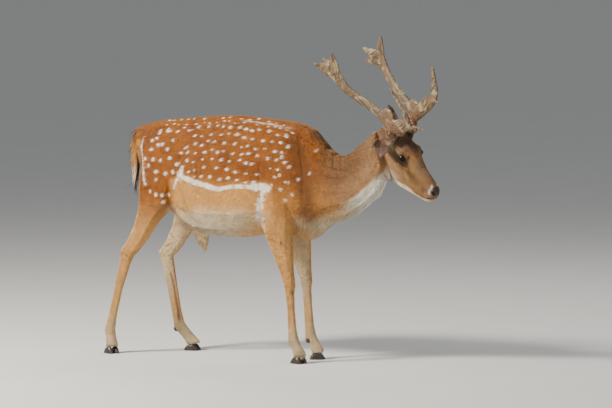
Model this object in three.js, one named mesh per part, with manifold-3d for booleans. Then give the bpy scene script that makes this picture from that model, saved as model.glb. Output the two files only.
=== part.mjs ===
// A fallow deer buck standing at ease, life size, in millimetres: +X forward, +Y to its left, +Z up.
// Every part of the body is swept through cross-sections set out by the animal's own measures.
import * as THREE from 'three';
import { mergeVertices } from 'three/addons/utils/BufferGeometryUtils.js';
import Module from 'manifold-3d';

const wasm = await Module();
wasm.setup();

// ---- driving dimensions ----
const GAP = 0.4;               // clearance across a cut between two parts
const CARVE = 1;               // clearance where one part is let into another
const WITHERS = 872;           // height of the back over the shoulders
const CROUP = 876;             // height over the hips
const BACK = 890;              // highest point of the slightly arched back
const BELLY = 438;             // lowest point of the belly
const BARREL = 140;            // half-width of the ribs at their widest
const RIGHT = -1;
const LEFT = 1;

// Where the head sits: the poll, and how far the face turns right, points down and leans over.
const POLL = [442, 0, 834];
const FACE_TURN = -17;
const FACE_DOWN = 38.5;
const FACE_LEAN = 17;
const EYE_RADIUS = 14;
const EYE_AT = [119, 37, -2];
const EAR_STUB = 34;           // how far along the ear its own part begins

// Joint centres of each leg in the side view [x, z], from the top of the limb to the coronet.
// `spread` is the distance from the midline at the top and at the foot, `toeOut` turns the foot.
const LEGS = {
  fore_right: { side: RIGHT, toeOut: 26, spread: [66, 76],
    joints: [[22, 640], [26, 478], [73, 282], [88, 84], [112, 36]] },
  fore_left: { side: LEFT, toeOut: 24, spread: [66, 70],
    joints: [[22, 640], [28, 478], [67, 284], [84, 84], [112, 36]] },
  hind_right: { side: RIGHT, toeOut: 34, spread: [74, 106],
    joints: [[-468, 712], [-432, 556], [-586, 374], [-660, 90], [-652, 36]] },
  hind_left: { side: LEFT, toeOut: 4, spread: [74, 112],
    joints: [[-446, 706], [-376, 534], [-536, 358], [-488, 92], [-430, 34]] },
};

// Thickness of a limb at a fraction of each bone: [bone, fraction, forward, backward, half-width].
const FORE_PROFILE = [
  [0, 0.0, 62, 62, 26], [0, 0.5, 72, 74, 40], [1, 0.0, 62, 62, 42], [1, 0.3, 45, 46, 34],
  [1, 0.6, 34, 36, 27], [1, 0.85, 26, 26, 23], [2, 0.0, 23, 24, 22], [2, 0.16, 17, 20, 16],
  [2, 0.45, 14, 18, 12.5], [2, 0.8, 15, 20, 14], [3, 0.0, 20, 22, 19], [3, 0.5, 18, 19, 18],
  [3, 1.0, 19, 23, 21], [3, 1.5, 19, 23, 21],
];
const HIND_PROFILE = [
  [0, 0.0, 74, 84, 34], [0, 0.5, 84, 100, 52], [1, 0.0, 28, 112, 50], [1, 0.3, 20, 80, 38],
  [1, 0.6, 28, 50, 28], [1, 0.85, 31, 35, 23], [2, 0.0, 28, 36, 22], [2, 0.14, 23, 30, 17],
  [2, 0.45, 17, 25, 12.5], [2, 0.8, 17, 23, 13.5], [3, 0.0, 22, 23, 19], [3, 0.5, 18, 20, 19],
  [3, 1.0, 19, 23, 22], [3, 1.5, 19, 23, 22],
];

const CLAW_LENGTH = 56;
const CLAW_HEIGHT = 33;
const CLAW_WIDTH = 21;

// ---- materials ----
const finish = (color, roughness) => new THREE.MeshStandardMaterial({ color, roughness, metalness: 0 });
const RED_COAT = () => finish(0xa8663a, 0.9);
const GREY_COAT = () => finish(0xa08060, 0.9);
const LEG_COAT = () => finish(0xc89a6c, 0.9);
const PALE_COAT = () => finish(0xd8ccb8, 0.9);
const DARK_COAT = () => finish(0x3a322c, 0.9);
const ANTLER = () => finish(0xb09a80, 0.7);
const HOOF = () => finish(0x2a2828, 0.4);
const EYE = () => finish(0x140e0a, 0.1);

// ---- solids ----
function toSolid(geometry) {
  const bare = geometry.clone();
  bare.deleteAttribute('normal');
  bare.deleteAttribute('uv');
  const merged = mergeVertices(bare, 1e-4);
  return new wasm.Manifold(new wasm.Mesh({
    numProp: 3,
    vertProperties: new Float32Array(merged.attributes.position.array),
    triVerts: new Uint32Array(merged.index.array),
  }));
}

function toGeometry(solid) {
  const { vertProperties, triVerts, numProp } = solid.getMesh();
  const geometry = new THREE.BufferGeometry();
  const positions = new Float32Array((vertProperties.length / numProp) * 3);
  for (let i = 0; i < positions.length / 3; i += 1) {
    for (let axis = 0; axis < 3; axis += 1) positions[3 * i + axis] = vertProperties[numProp * i + axis];
  }
  geometry.setAttribute('position', new THREE.BufferAttribute(positions, 3));
  geometry.setIndex(new THREE.BufferAttribute(new Uint32Array(triVerts), 1));
  geometry.computeVertexNormals();
  return geometry;
}

// The largest connected piece of a solid; slivers left by a cut are dropped.
function largest(solid) {
  const pieces = solid.decompose();
  return pieces.reduce((best, piece) => (piece.volume() > best.volume() ? piece : best));
}

// A closed skin over rings of points; each ring has the same number, and the ends are fans.
function skin(rings) {
  const count = rings[0].length;
  const positions = rings.flat().flatMap((p) => [p.x, p.y, p.z]);
  const indices = [];
  for (let r = 0; r + 1 < rings.length; r += 1) {
    for (let k = 0; k < count; k += 1) {
      const next = (k + 1) % count;
      const [a, b, c, d] = [r * count + k, r * count + next, (r + 1) * count + next, (r + 1) * count + k];
      indices.push(a, b, c, a, c, d);
    }
  }
  [rings[0], rings[rings.length - 1]].forEach((ring, end) => {
    const centre = ring.reduce((sum, p) => sum.add(p), new THREE.Vector3()).divideScalar(count);
    const hub = positions.length / 3;
    const start = end === 0 ? 0 : (rings.length - 1) * count;
    positions.push(centre.x, centre.y, centre.z);
    for (let k = 0; k < count; k += 1) {
      const pair = [start + k, start + ((k + 1) % count)];
      if (end === 0) indices.push(hub, pair[1], pair[0]);
      else indices.push(hub, pair[0], pair[1]);
    }
  });
  const geometry = new THREE.BufferGeometry();
  geometry.setAttribute('position', new THREE.Float32BufferAttribute(positions, 3));
  geometry.setIndex(indices);
  return turnedOut(geometry);
}

// The same skin with its faces pointing outward, whichever way round the rings were laid.
function turnedOut(geometry) {
  const p = geometry.attributes.position;
  const index = geometry.index.array;
  let volume = 0;
  for (let i = 0; i < index.length; i += 3) {
    const [a, b, c] = [0, 1, 2].map((k) => new THREE.Vector3().fromBufferAttribute(p, index[i + k]));
    volume += a.dot(b.cross(c));
  }
  if (volume > 0) return geometry;
  for (let i = 0; i < index.length; i += 3) [index[i], index[i + 1]] = [index[i + 1], index[i]];
  return geometry;
}

// A smooth value through evenly numbered stations, at a fractional station number.
function smooth(values, at) {
  const last = values.length - 1;
  const i = Math.min(Math.floor(at), last - 1);
  const t = at - i;
  const [p0, p1, p2, p3] = [-1, 0, 1, 2].map((k) => values[Math.min(Math.max(i + k, 0), last)]);
  return p1 + 0.5 * t * (p2 - p0 + t * (2 * p0 - 5 * p1 + 4 * p2 - p3 + t * (3 * (p1 - p2) + p3 - p0)));
}

// A section is an oval between an upper (or front) end `a` and a lower (or rear) end `b`.
// `half` is its half-width along `across`, `square` fills its corners, and `egg` widens the end `b`.
function oval({ a, b, half, across, square = 2, egg = 0 }, points) {
  const middle = a.clone().add(b).multiplyScalar(0.5);
  const reach = b.clone().sub(a).multiplyScalar(0.5);
  return Array.from({ length: points }, (_, k) => {
    const angle = (2 * Math.PI * (k + 0.5)) / points;
    const [c, s] = [Math.cos(angle), Math.sin(angle)];
    const along = Math.sign(c) * Math.abs(c) ** (2 / square);
    const out = Math.sign(s) * Math.abs(s) ** (2 / square) * (1 + egg * c) * half;
    return middle.clone().addScaledVector(reach, along).addScaledVector(across, out);
  });
}

// Sweeps ovals through hand-set sections, with `steps` rings between each pair, grown by `grow`.
function sweep(sections, points, steps, grow = 0) {
  const rings = [];
  const track = (pick, at) => smooth(sections.map(pick), at);
  const vector = (pick, at) => new THREE.Vector3(
    ...['x', 'y', 'z'].map((axis) => track((s) => pick(s)[axis], at)));
  const total = (sections.length - 1) * steps;
  for (let i = 0; i <= total; i += 1) {
    const at = i / steps;
    const a = vector((s) => s.a, at);
    const b = vector((s) => s.b, at);
    const outward = a.clone().sub(b).normalize().multiplyScalar(grow);
    rings.push(oval({
      a: a.add(outward),
      b: b.sub(outward),
      half: Math.max(track((s) => s.half, at), 1) + grow,
      across: vector((s) => s.across, at).normalize(),
      square: track((s) => s.square ?? 2, at),
      egg: track((s) => s.egg ?? 0, at),
    }, points));
  }
  return skin(lengthened(rings, grow));
}

// The same rings with both ends moved outward along the sweep.
function lengthened(rings, grow) {
  const middle = (ring) => ring.reduce((sum, p) => sum.add(p), new THREE.Vector3()).divideScalar(ring.length);
  for (const [end, next] of [[0, 1], [rings.length - 1, rings.length - 2]]) {
    const outward = middle(rings[end]).sub(middle(rings[next])).normalize();
    rings[end] = rings[end].map((p) => p.clone().addScaledVector(outward, grow));
  }
  return rings;
}

const ACROSS = new THREE.Vector3(0, 1, 0);

// A section standing across the body, given by its top and low points in the side view.
function slice([topX, topZ], [lowX, lowZ], half, egg = 0, square = 2.2, y = 0) {
  return {
    a: new THREE.Vector3(topX, y, topZ),
    b: new THREE.Vector3(lowX, y, lowZ),
    half,
    across: ACROSS,
    egg,
    square,
  };
}

function ball(centre, radii, detail = 14) {
  const geometry = new THREE.SphereGeometry(1, detail, Math.round(detail * 0.6));
  geometry.scale(...radii);
  geometry.translate(...centre);
  return geometry;
}

// A big block filling the space on the far side of a plane, for cutting along it.
function beyond(point, normal, gap) {
  const size = 1600;
  const geometry = new THREE.BoxGeometry(size, size, size);
  geometry.translate(0, 0, size / 2 + gap / 2);
  const turn = new THREE.Quaternion().setFromUnitVectors(new THREE.Vector3(0, 0, 1), normal);
  geometry.applyQuaternion(turn);
  geometry.translate(point.x, point.y, point.z);
  return toSolid(geometry);
}

// Keeps what lies beyond a plane, half the usual clearance away from it.
function trim(solid, point, direction) {
  return largest(solid.intersect(beyond(point, direction.clone().normalize(), GAP)));
}

// Parts a solid along a plane: [behind the plane, beyond it].
function divide(solid, point, direction) {
  return [trim(solid, point, direction.clone().negate()), trim(solid, point, direction)];
}

// ---- trunk and neck ----
function trunkShape() {
  return sweep([
    slice([-596, 828], [-588, 770], 20),
    slice([-576, 843], [-566, 690], 66),
    slice([-535, 853], [-530, 630], 98),
    slice([-480, 866], [-478, 570], 114, 0.02),
    slice([-400, CROUP], [-400, 492], 120, 0.06),
    slice([-310, 882], [-312, 448], 132, 0.1),
    slice([-210, BACK], [-212, BELLY], BARREL, 0.12),
    slice([-120, 888], [-130, BELLY + 1], BARREL - 2, 0.1),
    slice([-40, 880], [-60, 452], 128, 0.06),
    slice([35, WITHERS], [20, 452], 114, 0.04),
    slice([95, 858], [95, 450], 98, 0),
    slice([148, 800], [160, 468], 80, 0),
    slice([186, 720], [200, 500], 56, 0),
    slice([205, 660], [216, 560], 26, 0),
  ], 16, 2);
}

function neckShape(grow = 0) {
  return sweep([
    slice([40, 866], [70, 520], 76),
    slice([104, 859], [150, 476], 84, 0.02),
    slice([138, 840], [205, 494], 80, -0.02),
    slice([168, 806], [258, 514], 74, -0.05),
    slice([198, 773], [297, 529], 68, -0.06),
    slice([228, 753], [328, 549], 63, -0.06),
    slice([258, 749], [352, 568], 59, -0.06),
    slice([288, 764], [378, 590], 55, -0.05),
    slice([320, 792], [402, 612], 51, -0.05),
    slice([352, 818], [420, 650], 48, -0.04),
    slice([384, 838], [432, 700], 40, 0),
  ], 16, 1, grow);
}

// ---- head, in its own frame: x from the poll to the nose, y left, z square to the face ----
const headFrame = new THREE.Matrix4().compose(
  new THREE.Vector3(...POLL),
  new THREE.Quaternion().setFromEuler(new THREE.Euler(
    ...[FACE_LEAN, FACE_DOWN, FACE_TURN].map((angle) => THREE.MathUtils.degToRad(angle)), 'ZYX')),
  new THREE.Vector3(1, 1, 1),
);
const onHead = (geometry) => geometry.applyMatrix4(headFrame);
const headPoint = (x, y, z) => new THREE.Vector3(x, y, z).applyMatrix4(headFrame);
const headDirection = (x, y, z) => new THREE.Vector3(x, y, z).transformDirection(headFrame);

function skullShape(grow = 0) {
  return sweep([
    slice([-46, -12], [-30, -80], 30, 0),
    slice([-14, -2], [6, -124], 40, -0.04),
    slice([24, 22], [42, -160], 44, -0.1),
    slice([62, 38], [74, -170], 46, -0.1),
    slice([98, 37], [104, -163], 45, -0.16),
    slice([128, 27], [132, -150], 41, -0.24),
    slice([160, 13], [162, -137], 34, -0.22),
    slice([194, 0], [194, -125], 29, -0.14),
    slice([228, -6], [226, -113], 27, -0.06),
    slice([256, -11], [254, -102], 26, 0),
    slice([276, -17], [272, -91], 23, 0, 2.3),
    slice([287, -27], [283, -78], 16, 0),
    slice([291, -36], [288, -66], 7, 0),
  ], 16, 1, grow);
}

// ---- legs ----
function legSections({ side, toeOut, spread, joints }, profile) {
  const bones = joints.slice(1).map(([x, z], i) => new THREE.Vector2(x - joints[i][0], z - joints[i][1]));
  const height = ([, z]) => THREE.MathUtils.clamp((joints[0][1] - z) / joints[0][1], 0, 1);
  return profile.map(([bone, fraction, forward, backward, half]) => {
    const here = bones[bone].clone().normalize();
    const neighbour = fraction < 0.5 ? bones[bone - 1] : bones[bone + 1];
    const blend = neighbour ? Math.abs(0.5 - fraction) ** 2 * 2 : 0;
    const along = here.clone();
    if (neighbour) along.lerp(neighbour.clone().normalize(), blend).normalize();
    const x = joints[bone][0] + bones[bone].x * fraction;
    const z = joints[bone][1] + bones[bone].y * fraction;
    const down = height([x, z]);
    const y = side * THREE.MathUtils.lerp(spread[0], spread[1], Math.min(down * 1.6, 1));
    const turn = THREE.MathUtils.degToRad(side * toeOut * THREE.MathUtils.smoothstep(down, 0.25, 0.75));
    const ahead = new THREE.Vector3(-along.y * Math.cos(turn), -along.y * Math.sin(turn), along.x);
    const centre = new THREE.Vector3(x, y, z);
    return {
      a: centre.clone().addScaledVector(ahead, forward),
      b: centre.clone().addScaledVector(ahead, -backward),
      half,
      across: new THREE.Vector3(-Math.sin(turn), Math.cos(turn), 0),
      square: 2.1,
    };
  });
}

// A foot's own frame: origin on the ground under the coronet, x toward the toes.
function footFrame({ side, toeOut, spread, joints }) {
  const [x] = joints[4];
  const frame = new THREE.Matrix4().makeRotationZ(THREE.MathUtils.degToRad(side * toeOut));
  return frame.setPosition(x, side * spread[1], 0);
}

// The coronet slopes down from the front of the hoof to its heel.
const CORONET_SLOPE = 0.3;
const coronetHeight = (x) => CLAW_HEIGHT - 3 + CORONET_SLOPE * (x - 12);

// One of the two claws of a cloven hoof: flat under the sole, with a sloping toe.
function clawShape(inward) {
  const heel = -0.5 * CLAW_LENGTH;
  const rings = [];
  const steps = 5;
  const arc = 5;
  for (let i = 0; i <= steps; i += 1) {
    const t = i / steps;
    const x = heel + CLAW_LENGTH * t;
    const toe = (CLAW_LENGTH / 2 + 1.5 - x) * 1.45;
    const top = Math.min(coronetHeight(x), toe, 9 + 90 * t);
    const width = 0.5 * CLAW_WIDTH * Math.min(1, 0.72 + 1.4 * t) * Math.sqrt(1.02 - t ** 5);
    const bend = inward * 2.2 * t * t;
    const ring = [];
    for (let k = 0; k <= arc; k += 1) {
      const angle = (Math.PI * k) / arc;
      const rise = Math.min(Math.sin(angle) ** 0.6, 1);
      ring.push(new THREE.Vector3(x, bend + width * Math.cos(angle) * (1.12 - 0.2 * rise), top * rise));
    }
    rings.push(ring);
  }
  return skin(rings);
}

// ---- ears ----
// A leaf-shaped ear rolled into a tube at its root; `opening` is the way its hollow faces.
function earShape(root, direction, opening) {
  const length = 138;
  const broad = 31;
  const along = direction.clone().normalize();
  const front = opening.clone().addScaledVector(along, -opening.dot(along)).normalize();
  const across = new THREE.Vector3().crossVectors(along, front);
  const rings = [];
  const steps = 7;
  const arc = 5;
  for (let i = 0; i <= steps; i += 1) {
    const t = i / steps;
    const leaf = Math.sin(Math.PI * Math.min(0.12 + 0.88 * t, 0.985) ** 0.86) ** 0.75;
    const half = THREE.MathUtils.lerp(15, broad, THREE.MathUtils.smoothstep(t, 0, 0.35)) * leaf + 1.5;
    const roll = THREE.MathUtils.lerp(1.25, 0.42, THREE.MathUtils.smoothstep(t, 0, 0.8));
    const thick = THREE.MathUtils.lerp(13, 4, THREE.MathUtils.smoothstep(t, 0, 0.3));
    const depth = half * Math.tan(roll * 0.5);
    const centre = root.clone().addScaledVector(along, length * t).addScaledVector(front, -9 * t * t);
    const ring = [];
    for (let pass = 0; pass < 2; pass += 1) {
      for (let k = 0; k <= arc; k += 1) {
        const u = (pass === 0 ? 1 : -1) * (2 * k / arc - 1);
        const edge = pass === 1 ? 0.93 : 1;
        const back = depth * (u * u - 1) - (pass === 0 ? thick * (1 - 0.75 * u * u) : 0);
        ring.push(centre.clone().addScaledVector(across, half * u * edge).addScaledVector(front, back));
      }
    }
    rings.push(ring);
  }
  return skin(rings);
}

// ---- antlers, in the head's frame ----
// `beam` and `brow` are centre lines, `spur` is the brow tine's side point, and the palm ends in `spires`.
const ANTLERS = {
  right: {
    side: RIGHT,
    beam: [[46, 45, 34], [30, 54, 72], [-4, 59, 90], [-66, 66, 88], [-122, 78, 82], [-192, 95, 83],
      [-252, 103, 103]],
    brow: [[32, 54, 72], [70, 61, 114], [108, 66, 160], [108, 73, 194], [58, 88, 232], [14, 101, 264]],
    spires: [[-290, 112, 176], [-338, 98, 104], [-363, 109, 58]],
    spur: [186, 56, 200],
  },
  left: {
    side: LEFT,
    beam: [[44, 45, 38], [24, 54, 80], [-12, 58, 100], [-74, 62, 102], [-136, 77, 95], [-204, 96, 91],
      [-254, 102, 105]],
    brow: [[26, 54, 80], [42, 61, 128], [66, 67, 192], [64, 74, 224], [30, 88, 254], [-10, 101, 284]],
    spires: [[-293, 111, 178], [-339, 90, 90], [-327, 108, 32]],
    spur: [112, 58, 226],
  },
};

// A flattened rod along a line of points: `wide` and `thin` are its half-measures at each point.
function antlerRod(points, side, wide, thin, flat, steps, grow = 0) {
  const line = points.map(([x, y, z]) => new THREE.Vector3(x, side * y, z));
  const sections = line.map((p, i) => {
    const along = line[Math.min(i + 1, line.length - 1)].clone().sub(line[Math.max(i - 1, 0)]).normalize();
    const broad = new THREE.Vector3(...flat);
    broad.addScaledVector(along, -broad.dot(along)).normalize();
    return {
      a: p.clone().addScaledVector(broad, wide[i]),
      b: p.clone().addScaledVector(broad, -wide[i]),
      half: thin[i],
      across: new THREE.Vector3().crossVectors(along, broad),
      square: 2,
    };
  });
  return sweep(sections, 8, steps, grow);
}

function antlerSolids({ side, beam, brow, spires, spur }) {
  const upright = [0.2, 0, 1];
  const solid = (points, wide, thin, flat, steps = 2) => toSolid(
    antlerRod(points, side, wide, thin, flat, steps));
  const stem = solid(beam, [18, 21, 22, 19, 19, 23, 31], [16, 14, 12, 11, 10, 8, 7], upright);
  const burr = toSolid(ball([beam[0][0] - 1, side * beam[0][1], beam[0][2] + 4], [23, 22, 9], 10));
  const web = toSolid(ball([14, side * 61, 112], [38, 10, 34], 8));
  const tine = solid(brow, [20, 27, 25, 18, 11, 3.5], [13, 10, 8, 7, 6, 3], [1, 0, 0.1])
    .add(solid([brow[2], brow[2].map((v, i) => (v + spur[i]) / 2), spur], [12, 7, 2.5], [7, 5, 2.5], upright, 1));
  const root = beam[beam.length - 2];
  const neck = beam[beam.length - 1];
  const palm = spires.map((tip) => {
    const at = (share) => neck.map((v, i) => v + share * (tip[i] - v));
    return solid([root, neck, at(0.45), at(0.75), tip], [20, 31, 25, 13, 4], [7.5, 7, 6, 5, 3.5], upright, 1);
  }).reduce((sum, spire) => sum.add(spire));
  return { stem: stem.add(burr).add(web), tine, palm, neck: root, fork: brow[0] };
}

// ---- assembly ----
const group = new THREE.Group();
const add = (name, solid, material) => {
  const mesh = new THREE.Mesh(solid.isBufferGeometry ? solid : toGeometry(solid), material);
  mesh.name = name;
  group.add(mesh);
};

// Neck and skull with the brows and the pedicles that carry the antlers, grown by `grow`.
function neckAndHead(grow) {
  let solid = toSolid(neckShape(grow)).add(toSolid(onHead(skullShape(grow))));
  for (const side of [RIGHT, LEFT]) {
    const radii = [34, 19, 26].map((radius) => radius + grow);
    const brow = ball([EYE_AT[0] - 9, side * (EYE_AT[1] - 12), EYE_AT[2]], radii, 8);
    const pedicle = antlerRod([[46, 36, -10], [42, 42, 18], [38, 46, 31]], side,
      [18, 16, 15], [17, 15, 14], [1, 0, 0.2], 1, grow);
    solid = solid.add(toSolid(onHead(brow))).add(toSolid(onHead(pedicle)));
  }
  return solid;
}

let body = toSolid(trunkShape()).add(neckAndHead(0));

// The sheath under the belly ends in a hanging tuft.
body = body.add(toSolid(sweep([
  slice([-300, 470], [-380, 476], 22),
  slice([-296, 446], [-366, 446], 19),
  slice([-298, 424], [-338, 420], 12),
  slice([-302, 402], [-318, 396], 5),
], 8, 1)));

// Tail: a dark-topped brush hanging against the rump.
const tailSections = [
  slice([-580, 842], [-588, 812], 14),
  slice([-606, 832], [-592, 796], 20),
  slice([-624, 790], [-590, 772], 22),
  slice([-624, 724], [-592, 716], 21),
  slice([-620, 664], [-594, 660], 17),
  slice([-614, 616], [-604, 616], 5),
];
body = body.subtract(toSolid(sweep(tailSections, 10, 1, CARVE)));
add('tail', toSolid(sweep(tailSections, 10, 1)), DARK_COAT());

for (const [name, leg] of Object.entries(LEGS)) {
  const hind = name.startsWith('hind');
  const profile = hind ? HIND_PROFILE : FORE_PROFILE;
  const sections = legSections(leg, profile);
  body = body.subtract(toSolid(sweep(sections, 10, 1, CARVE)));
  const joint = ([x, z], y) => new THREE.Vector3(x, leg.side * y, z);
  const [, , middle, fetlock, coronet] = leg.joints;
  const shank = joint(fetlock, 0).sub(joint(middle, 0));
  const [upper, lower] = divide(toSolid(sweep(sections, 10, 1)),
    joint(middle, leg.spread[1]).addScaledVector(shank, 0.1), shank);
  const [cannon, foot] = divide(lower, joint(fetlock, leg.spread[1]).addScaledVector(shank, -0.06), shank);

  const frame = footFrame(leg);
  const sole = new THREE.Vector3(0, 0, coronetHeight(0)).applyMatrix4(frame);
  const sloping = new THREE.Vector3(CORONET_SLOPE, 0, -1).transformDirection(frame);
  let pastern = trim(foot, sole, sloping.clone().negate());
  for (const [place, lateral] of [['outer', leg.side], ['inner', -leg.side]]) {
    const claw = clawShape(-lateral);
    claw.translate(0, lateral * (CLAW_WIDTH / 2 + 3.2), 0);
    claw.applyMatrix4(frame);
    const trimmed = toSolid(claw).subtract(beyond(sole, sloping.clone().negate(), GAP));
    add(`claw_${place}_${name}`, trimmed, HOOF());

    const dewAt = new THREE.Vector3(fetlockBehind(leg, frame) - 17, lateral * 12, fetlock[1] - 20);
    const dewclaw = (grow) => {
      const geometry = ball([0, 0, 0], [7 + grow, 6.5 + grow, 11 + grow], 6);
      geometry.rotateY(THREE.MathUtils.degToRad(-28));
      geometry.translate(dewAt.x, dewAt.y, dewAt.z);
      return toSolid(geometry.applyMatrix4(frame));
    };
    pastern = pastern.subtract(dewclaw(GAP));
    add(`dewclaw_${place}_${name}`, dewclaw(0), HOOF());
  }
  add(`${hind ? 'thigh' : 'forearm'}_${name}`, upper, LEG_COAT());
  add(`cannon_${name}`, cannon, LEG_COAT());
  add(`pastern_${name}`, largest(pastern), LEG_COAT());
}

// How far behind the coronet the fetlock lies, measured along the foot.
function fetlockBehind(leg, frame) {
  const fetlock = new THREE.Vector3(leg.joints[3][0], leg.side * leg.spread[1], 0);
  return fetlock.applyMatrix4(frame.clone().invert()).x;
}

const roomForHead = neckAndHead(CARVE);
for (const [word, { side }] of Object.entries(ANTLERS)) {
  // Eyes sit in sockets of the skull.
  const eyeAt = [EYE_AT[0], side * EYE_AT[1], EYE_AT[2]];
  const eye = (grow) => toSolid(onHead(ball(eyeAt, Array(3).fill(EYE_RADIUS + grow), 10)));
  body = body.subtract(eye(GAP));
  add(`eye_${word}`, eye(0), EYE());

  // The right ear lies out to the side, the left one stands up and back.
  const root = headPoint(-4, side * 44, -8);
  const pose = side === RIGHT
    ? [new THREE.Vector3(0.39, -0.78, -0.38), new THREE.Vector3(0.37, -0.42, 0.83)]
    : [new THREE.Vector3(-0.52, 0.57, 0.63), new THREE.Vector3(0.89, 0.45, 0)];
  const ear = toSolid(earShape(root, ...pose));
  const base = root.clone().addScaledVector(pose[0].clone().normalize(), EAR_STUB);
  body = body.add(trim(ear, base, pose[0].clone().negate()));
  const free = trim(ear, base, pose[0]).subtract(roomForHead);
  add(`ear_${word}`, largest(free), GREY_COAT());

  // Antlers stand on the pedicles and part at their main forks.
  const antler = antlerSolids(ANTLERS[word]);
  const seat = new THREE.Vector3(38, side * 45, 30);
  const tilt = new THREE.Vector3(-0.15, side * 0.3, 1);
  const place = ([x, y, z]) => new THREE.Vector3(x, side * y, z);
  const whole = trim(antler.stem.add(antler.tine).add(antler.palm), seat, tilt);
  const [beamAndTine, palm] = divide(whole, place(antler.neck), new THREE.Vector3(-1, 0, 0.1));
  const [tine, beam] = divide(beamAndTine, place(antler.fork).add(new THREE.Vector3(8, 0, 14)),
    new THREE.Vector3(-0.62, 0, -0.8));
  add(`antler_beam_${word}`, onHead(toGeometry(beam)), ANTLER());
  add(`antler_brow_tine_${word}`, onHead(toGeometry(tine)), ANTLER());
  add(`antler_palm_${word}`, onHead(toGeometry(palm)), ANTLER());
  const headSeat = seat.clone().applyMatrix4(headFrame);
  const above = beyond(headSeat, tilt.clone().normalize().transformDirection(headFrame), -GAP);
  const nearSeat = toSolid(onHead(ball([38, side * 45, 34], [26, 24, 12], 8)));
  body = body.subtract(above.intersect(nearSeat));
}

// The body parts across the shoulders, behind the jaw and along the mouth.
const [trunk, front] = divide(largest(body), new THREE.Vector3(125, 0, 700), new THREE.Vector3(0.93, 0, 0.36));
const [neck, head] = divide(front, headPoint(-8, 0, -40), headDirection(1, 0, 0.34));
const [skull, jaw] = divide(head, headPoint(250, 0, -72), headDirection(0.3, 0, -1));
add('trunk', trunk, RED_COAT());
add('neck', neck, GREY_COAT());
add('head', skull, GREY_COAT());
add('lower_jaw', jaw, PALE_COAT());

// The origin is on the ground, under the middle of the animal's outline.
const box = new THREE.Box3().setFromObject(group);
const centre = box.getCenter(new THREE.Vector3());
group.position.set(-centre.x, -centre.y, -box.min.z);

export default group;
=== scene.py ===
# %% [markdown]
# A fallow deer buck, life size, as a museum would show it.
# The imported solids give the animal's true outline. This lesson grows one skin inside them, sculpts the
# folds of the body and face into it, paints its markings, and lays the coat over it tuft by tuft.

# %% Load the frame
import math

import bmesh
import bpy
import numpy as np
from mathutils import Matrix, Vector
from mathutils.bvhtree import BVHTree


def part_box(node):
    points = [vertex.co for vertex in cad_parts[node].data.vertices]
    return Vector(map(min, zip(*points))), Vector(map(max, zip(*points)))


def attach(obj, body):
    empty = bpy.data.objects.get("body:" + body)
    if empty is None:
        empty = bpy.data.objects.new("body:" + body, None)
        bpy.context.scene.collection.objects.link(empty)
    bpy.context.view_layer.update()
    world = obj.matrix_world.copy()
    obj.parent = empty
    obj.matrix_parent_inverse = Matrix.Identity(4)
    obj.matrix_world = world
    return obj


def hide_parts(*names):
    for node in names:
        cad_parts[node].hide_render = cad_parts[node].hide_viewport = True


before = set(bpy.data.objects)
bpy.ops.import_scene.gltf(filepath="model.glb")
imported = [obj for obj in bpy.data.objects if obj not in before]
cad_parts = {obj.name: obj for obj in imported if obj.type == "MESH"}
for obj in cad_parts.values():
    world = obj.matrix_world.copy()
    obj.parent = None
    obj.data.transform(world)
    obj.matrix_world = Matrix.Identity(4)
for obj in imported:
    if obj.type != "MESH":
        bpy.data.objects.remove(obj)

MM = 0.001
RIGHT, LEFT = -1, 1
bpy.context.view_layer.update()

# %% [markdown]
# Everything is measured from the animal itself. The eyes fix the head's own frame: x runs from the poll
# to the nose, y to the animal's left and z out of the forehead. The poll then fixes the body's frame,
# whose x runs forward from the shoulders, y to the left of the midline and z up from the ground.

# %% The animal's own frames
HEAD_TURN, HEAD_DOWN, HEAD_LEAN = -17.0, 38.5, 17.0
EYE_FROM_POLL = np.array([119, 0, -2]) * MM
POLL_IN_BODY = np.array([442, 0, 834]) * MM
EYE_SPREAD = 37 * MM


def turn(axis, degrees):
    return np.array(Matrix.Rotation(math.radians(degrees), 3, axis))


def middle(node):
    low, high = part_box(node)
    return np.array((low + high) / 2)


HEAD = turn("Z", HEAD_TURN) @ turn("Y", HEAD_DOWN) @ turn("X", HEAD_LEAN)
POLL = (middle("eye_right") + middle("eye_left")) / 2 - HEAD @ EYE_FROM_POLL
BODY = POLL - POLL_IN_BODY


def to_head(points):
    return (points - POLL) @ HEAD


def from_head(points):
    return np.asarray(points) @ HEAD.T + POLL


def to_body(points):
    return points - BODY


def unit(vectors):
    return vectors / np.maximum(np.linalg.norm(vectors, axis=-1, keepdims=True), 1e-9)


def fade(value, start, end):
    """0 before start, 1 past end, smooth between."""
    t = np.clip((value - start) / (end - start), 0, 1)
    return t * t * (3 - 2 * t)


print("poll", POLL.round(3), "body origin", BODY.round(3))

# %% [markdown]
# Uneven things come from one smooth noise. It is made on a grid of random values, so it gives the same
# answer on every run.

# %% Noise
LATTICE = 64
lattice_values = np.random.default_rng(7).random((LATTICE, LATTICE, LATTICE))


def noise(points, size):
    """Smooth noise from -1 to 1, with features of about the given size."""
    p = points / size + 1000
    cell = np.floor(p).astype(int)
    t = p - cell
    t = t * t * (3 - 2 * t)
    total = np.zeros(len(points))
    for corner in np.ndindex(2, 2, 2):
        weight = np.prod(np.where(np.array(corner) == 1, t, 1 - t), axis=1)
        i, j, k = ((cell + corner) % LATTICE).T
        total += weight * lattice_values[i, j, k]
    return total * 2 - 1

# %% [markdown]
# A few helpers come first. One selects only what is to be worked on, because an operator acts on all that
# is selected. Others copy solids, apply a modifier, and read or write all of a mesh's points at once.

# %% Helpers for meshes
def select_only(*objects):
    bpy.ops.object.select_all(action="DESELECT")
    for each in objects:
        each.select_set(True)
    bpy.context.view_layer.objects.active = objects[0]


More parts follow.
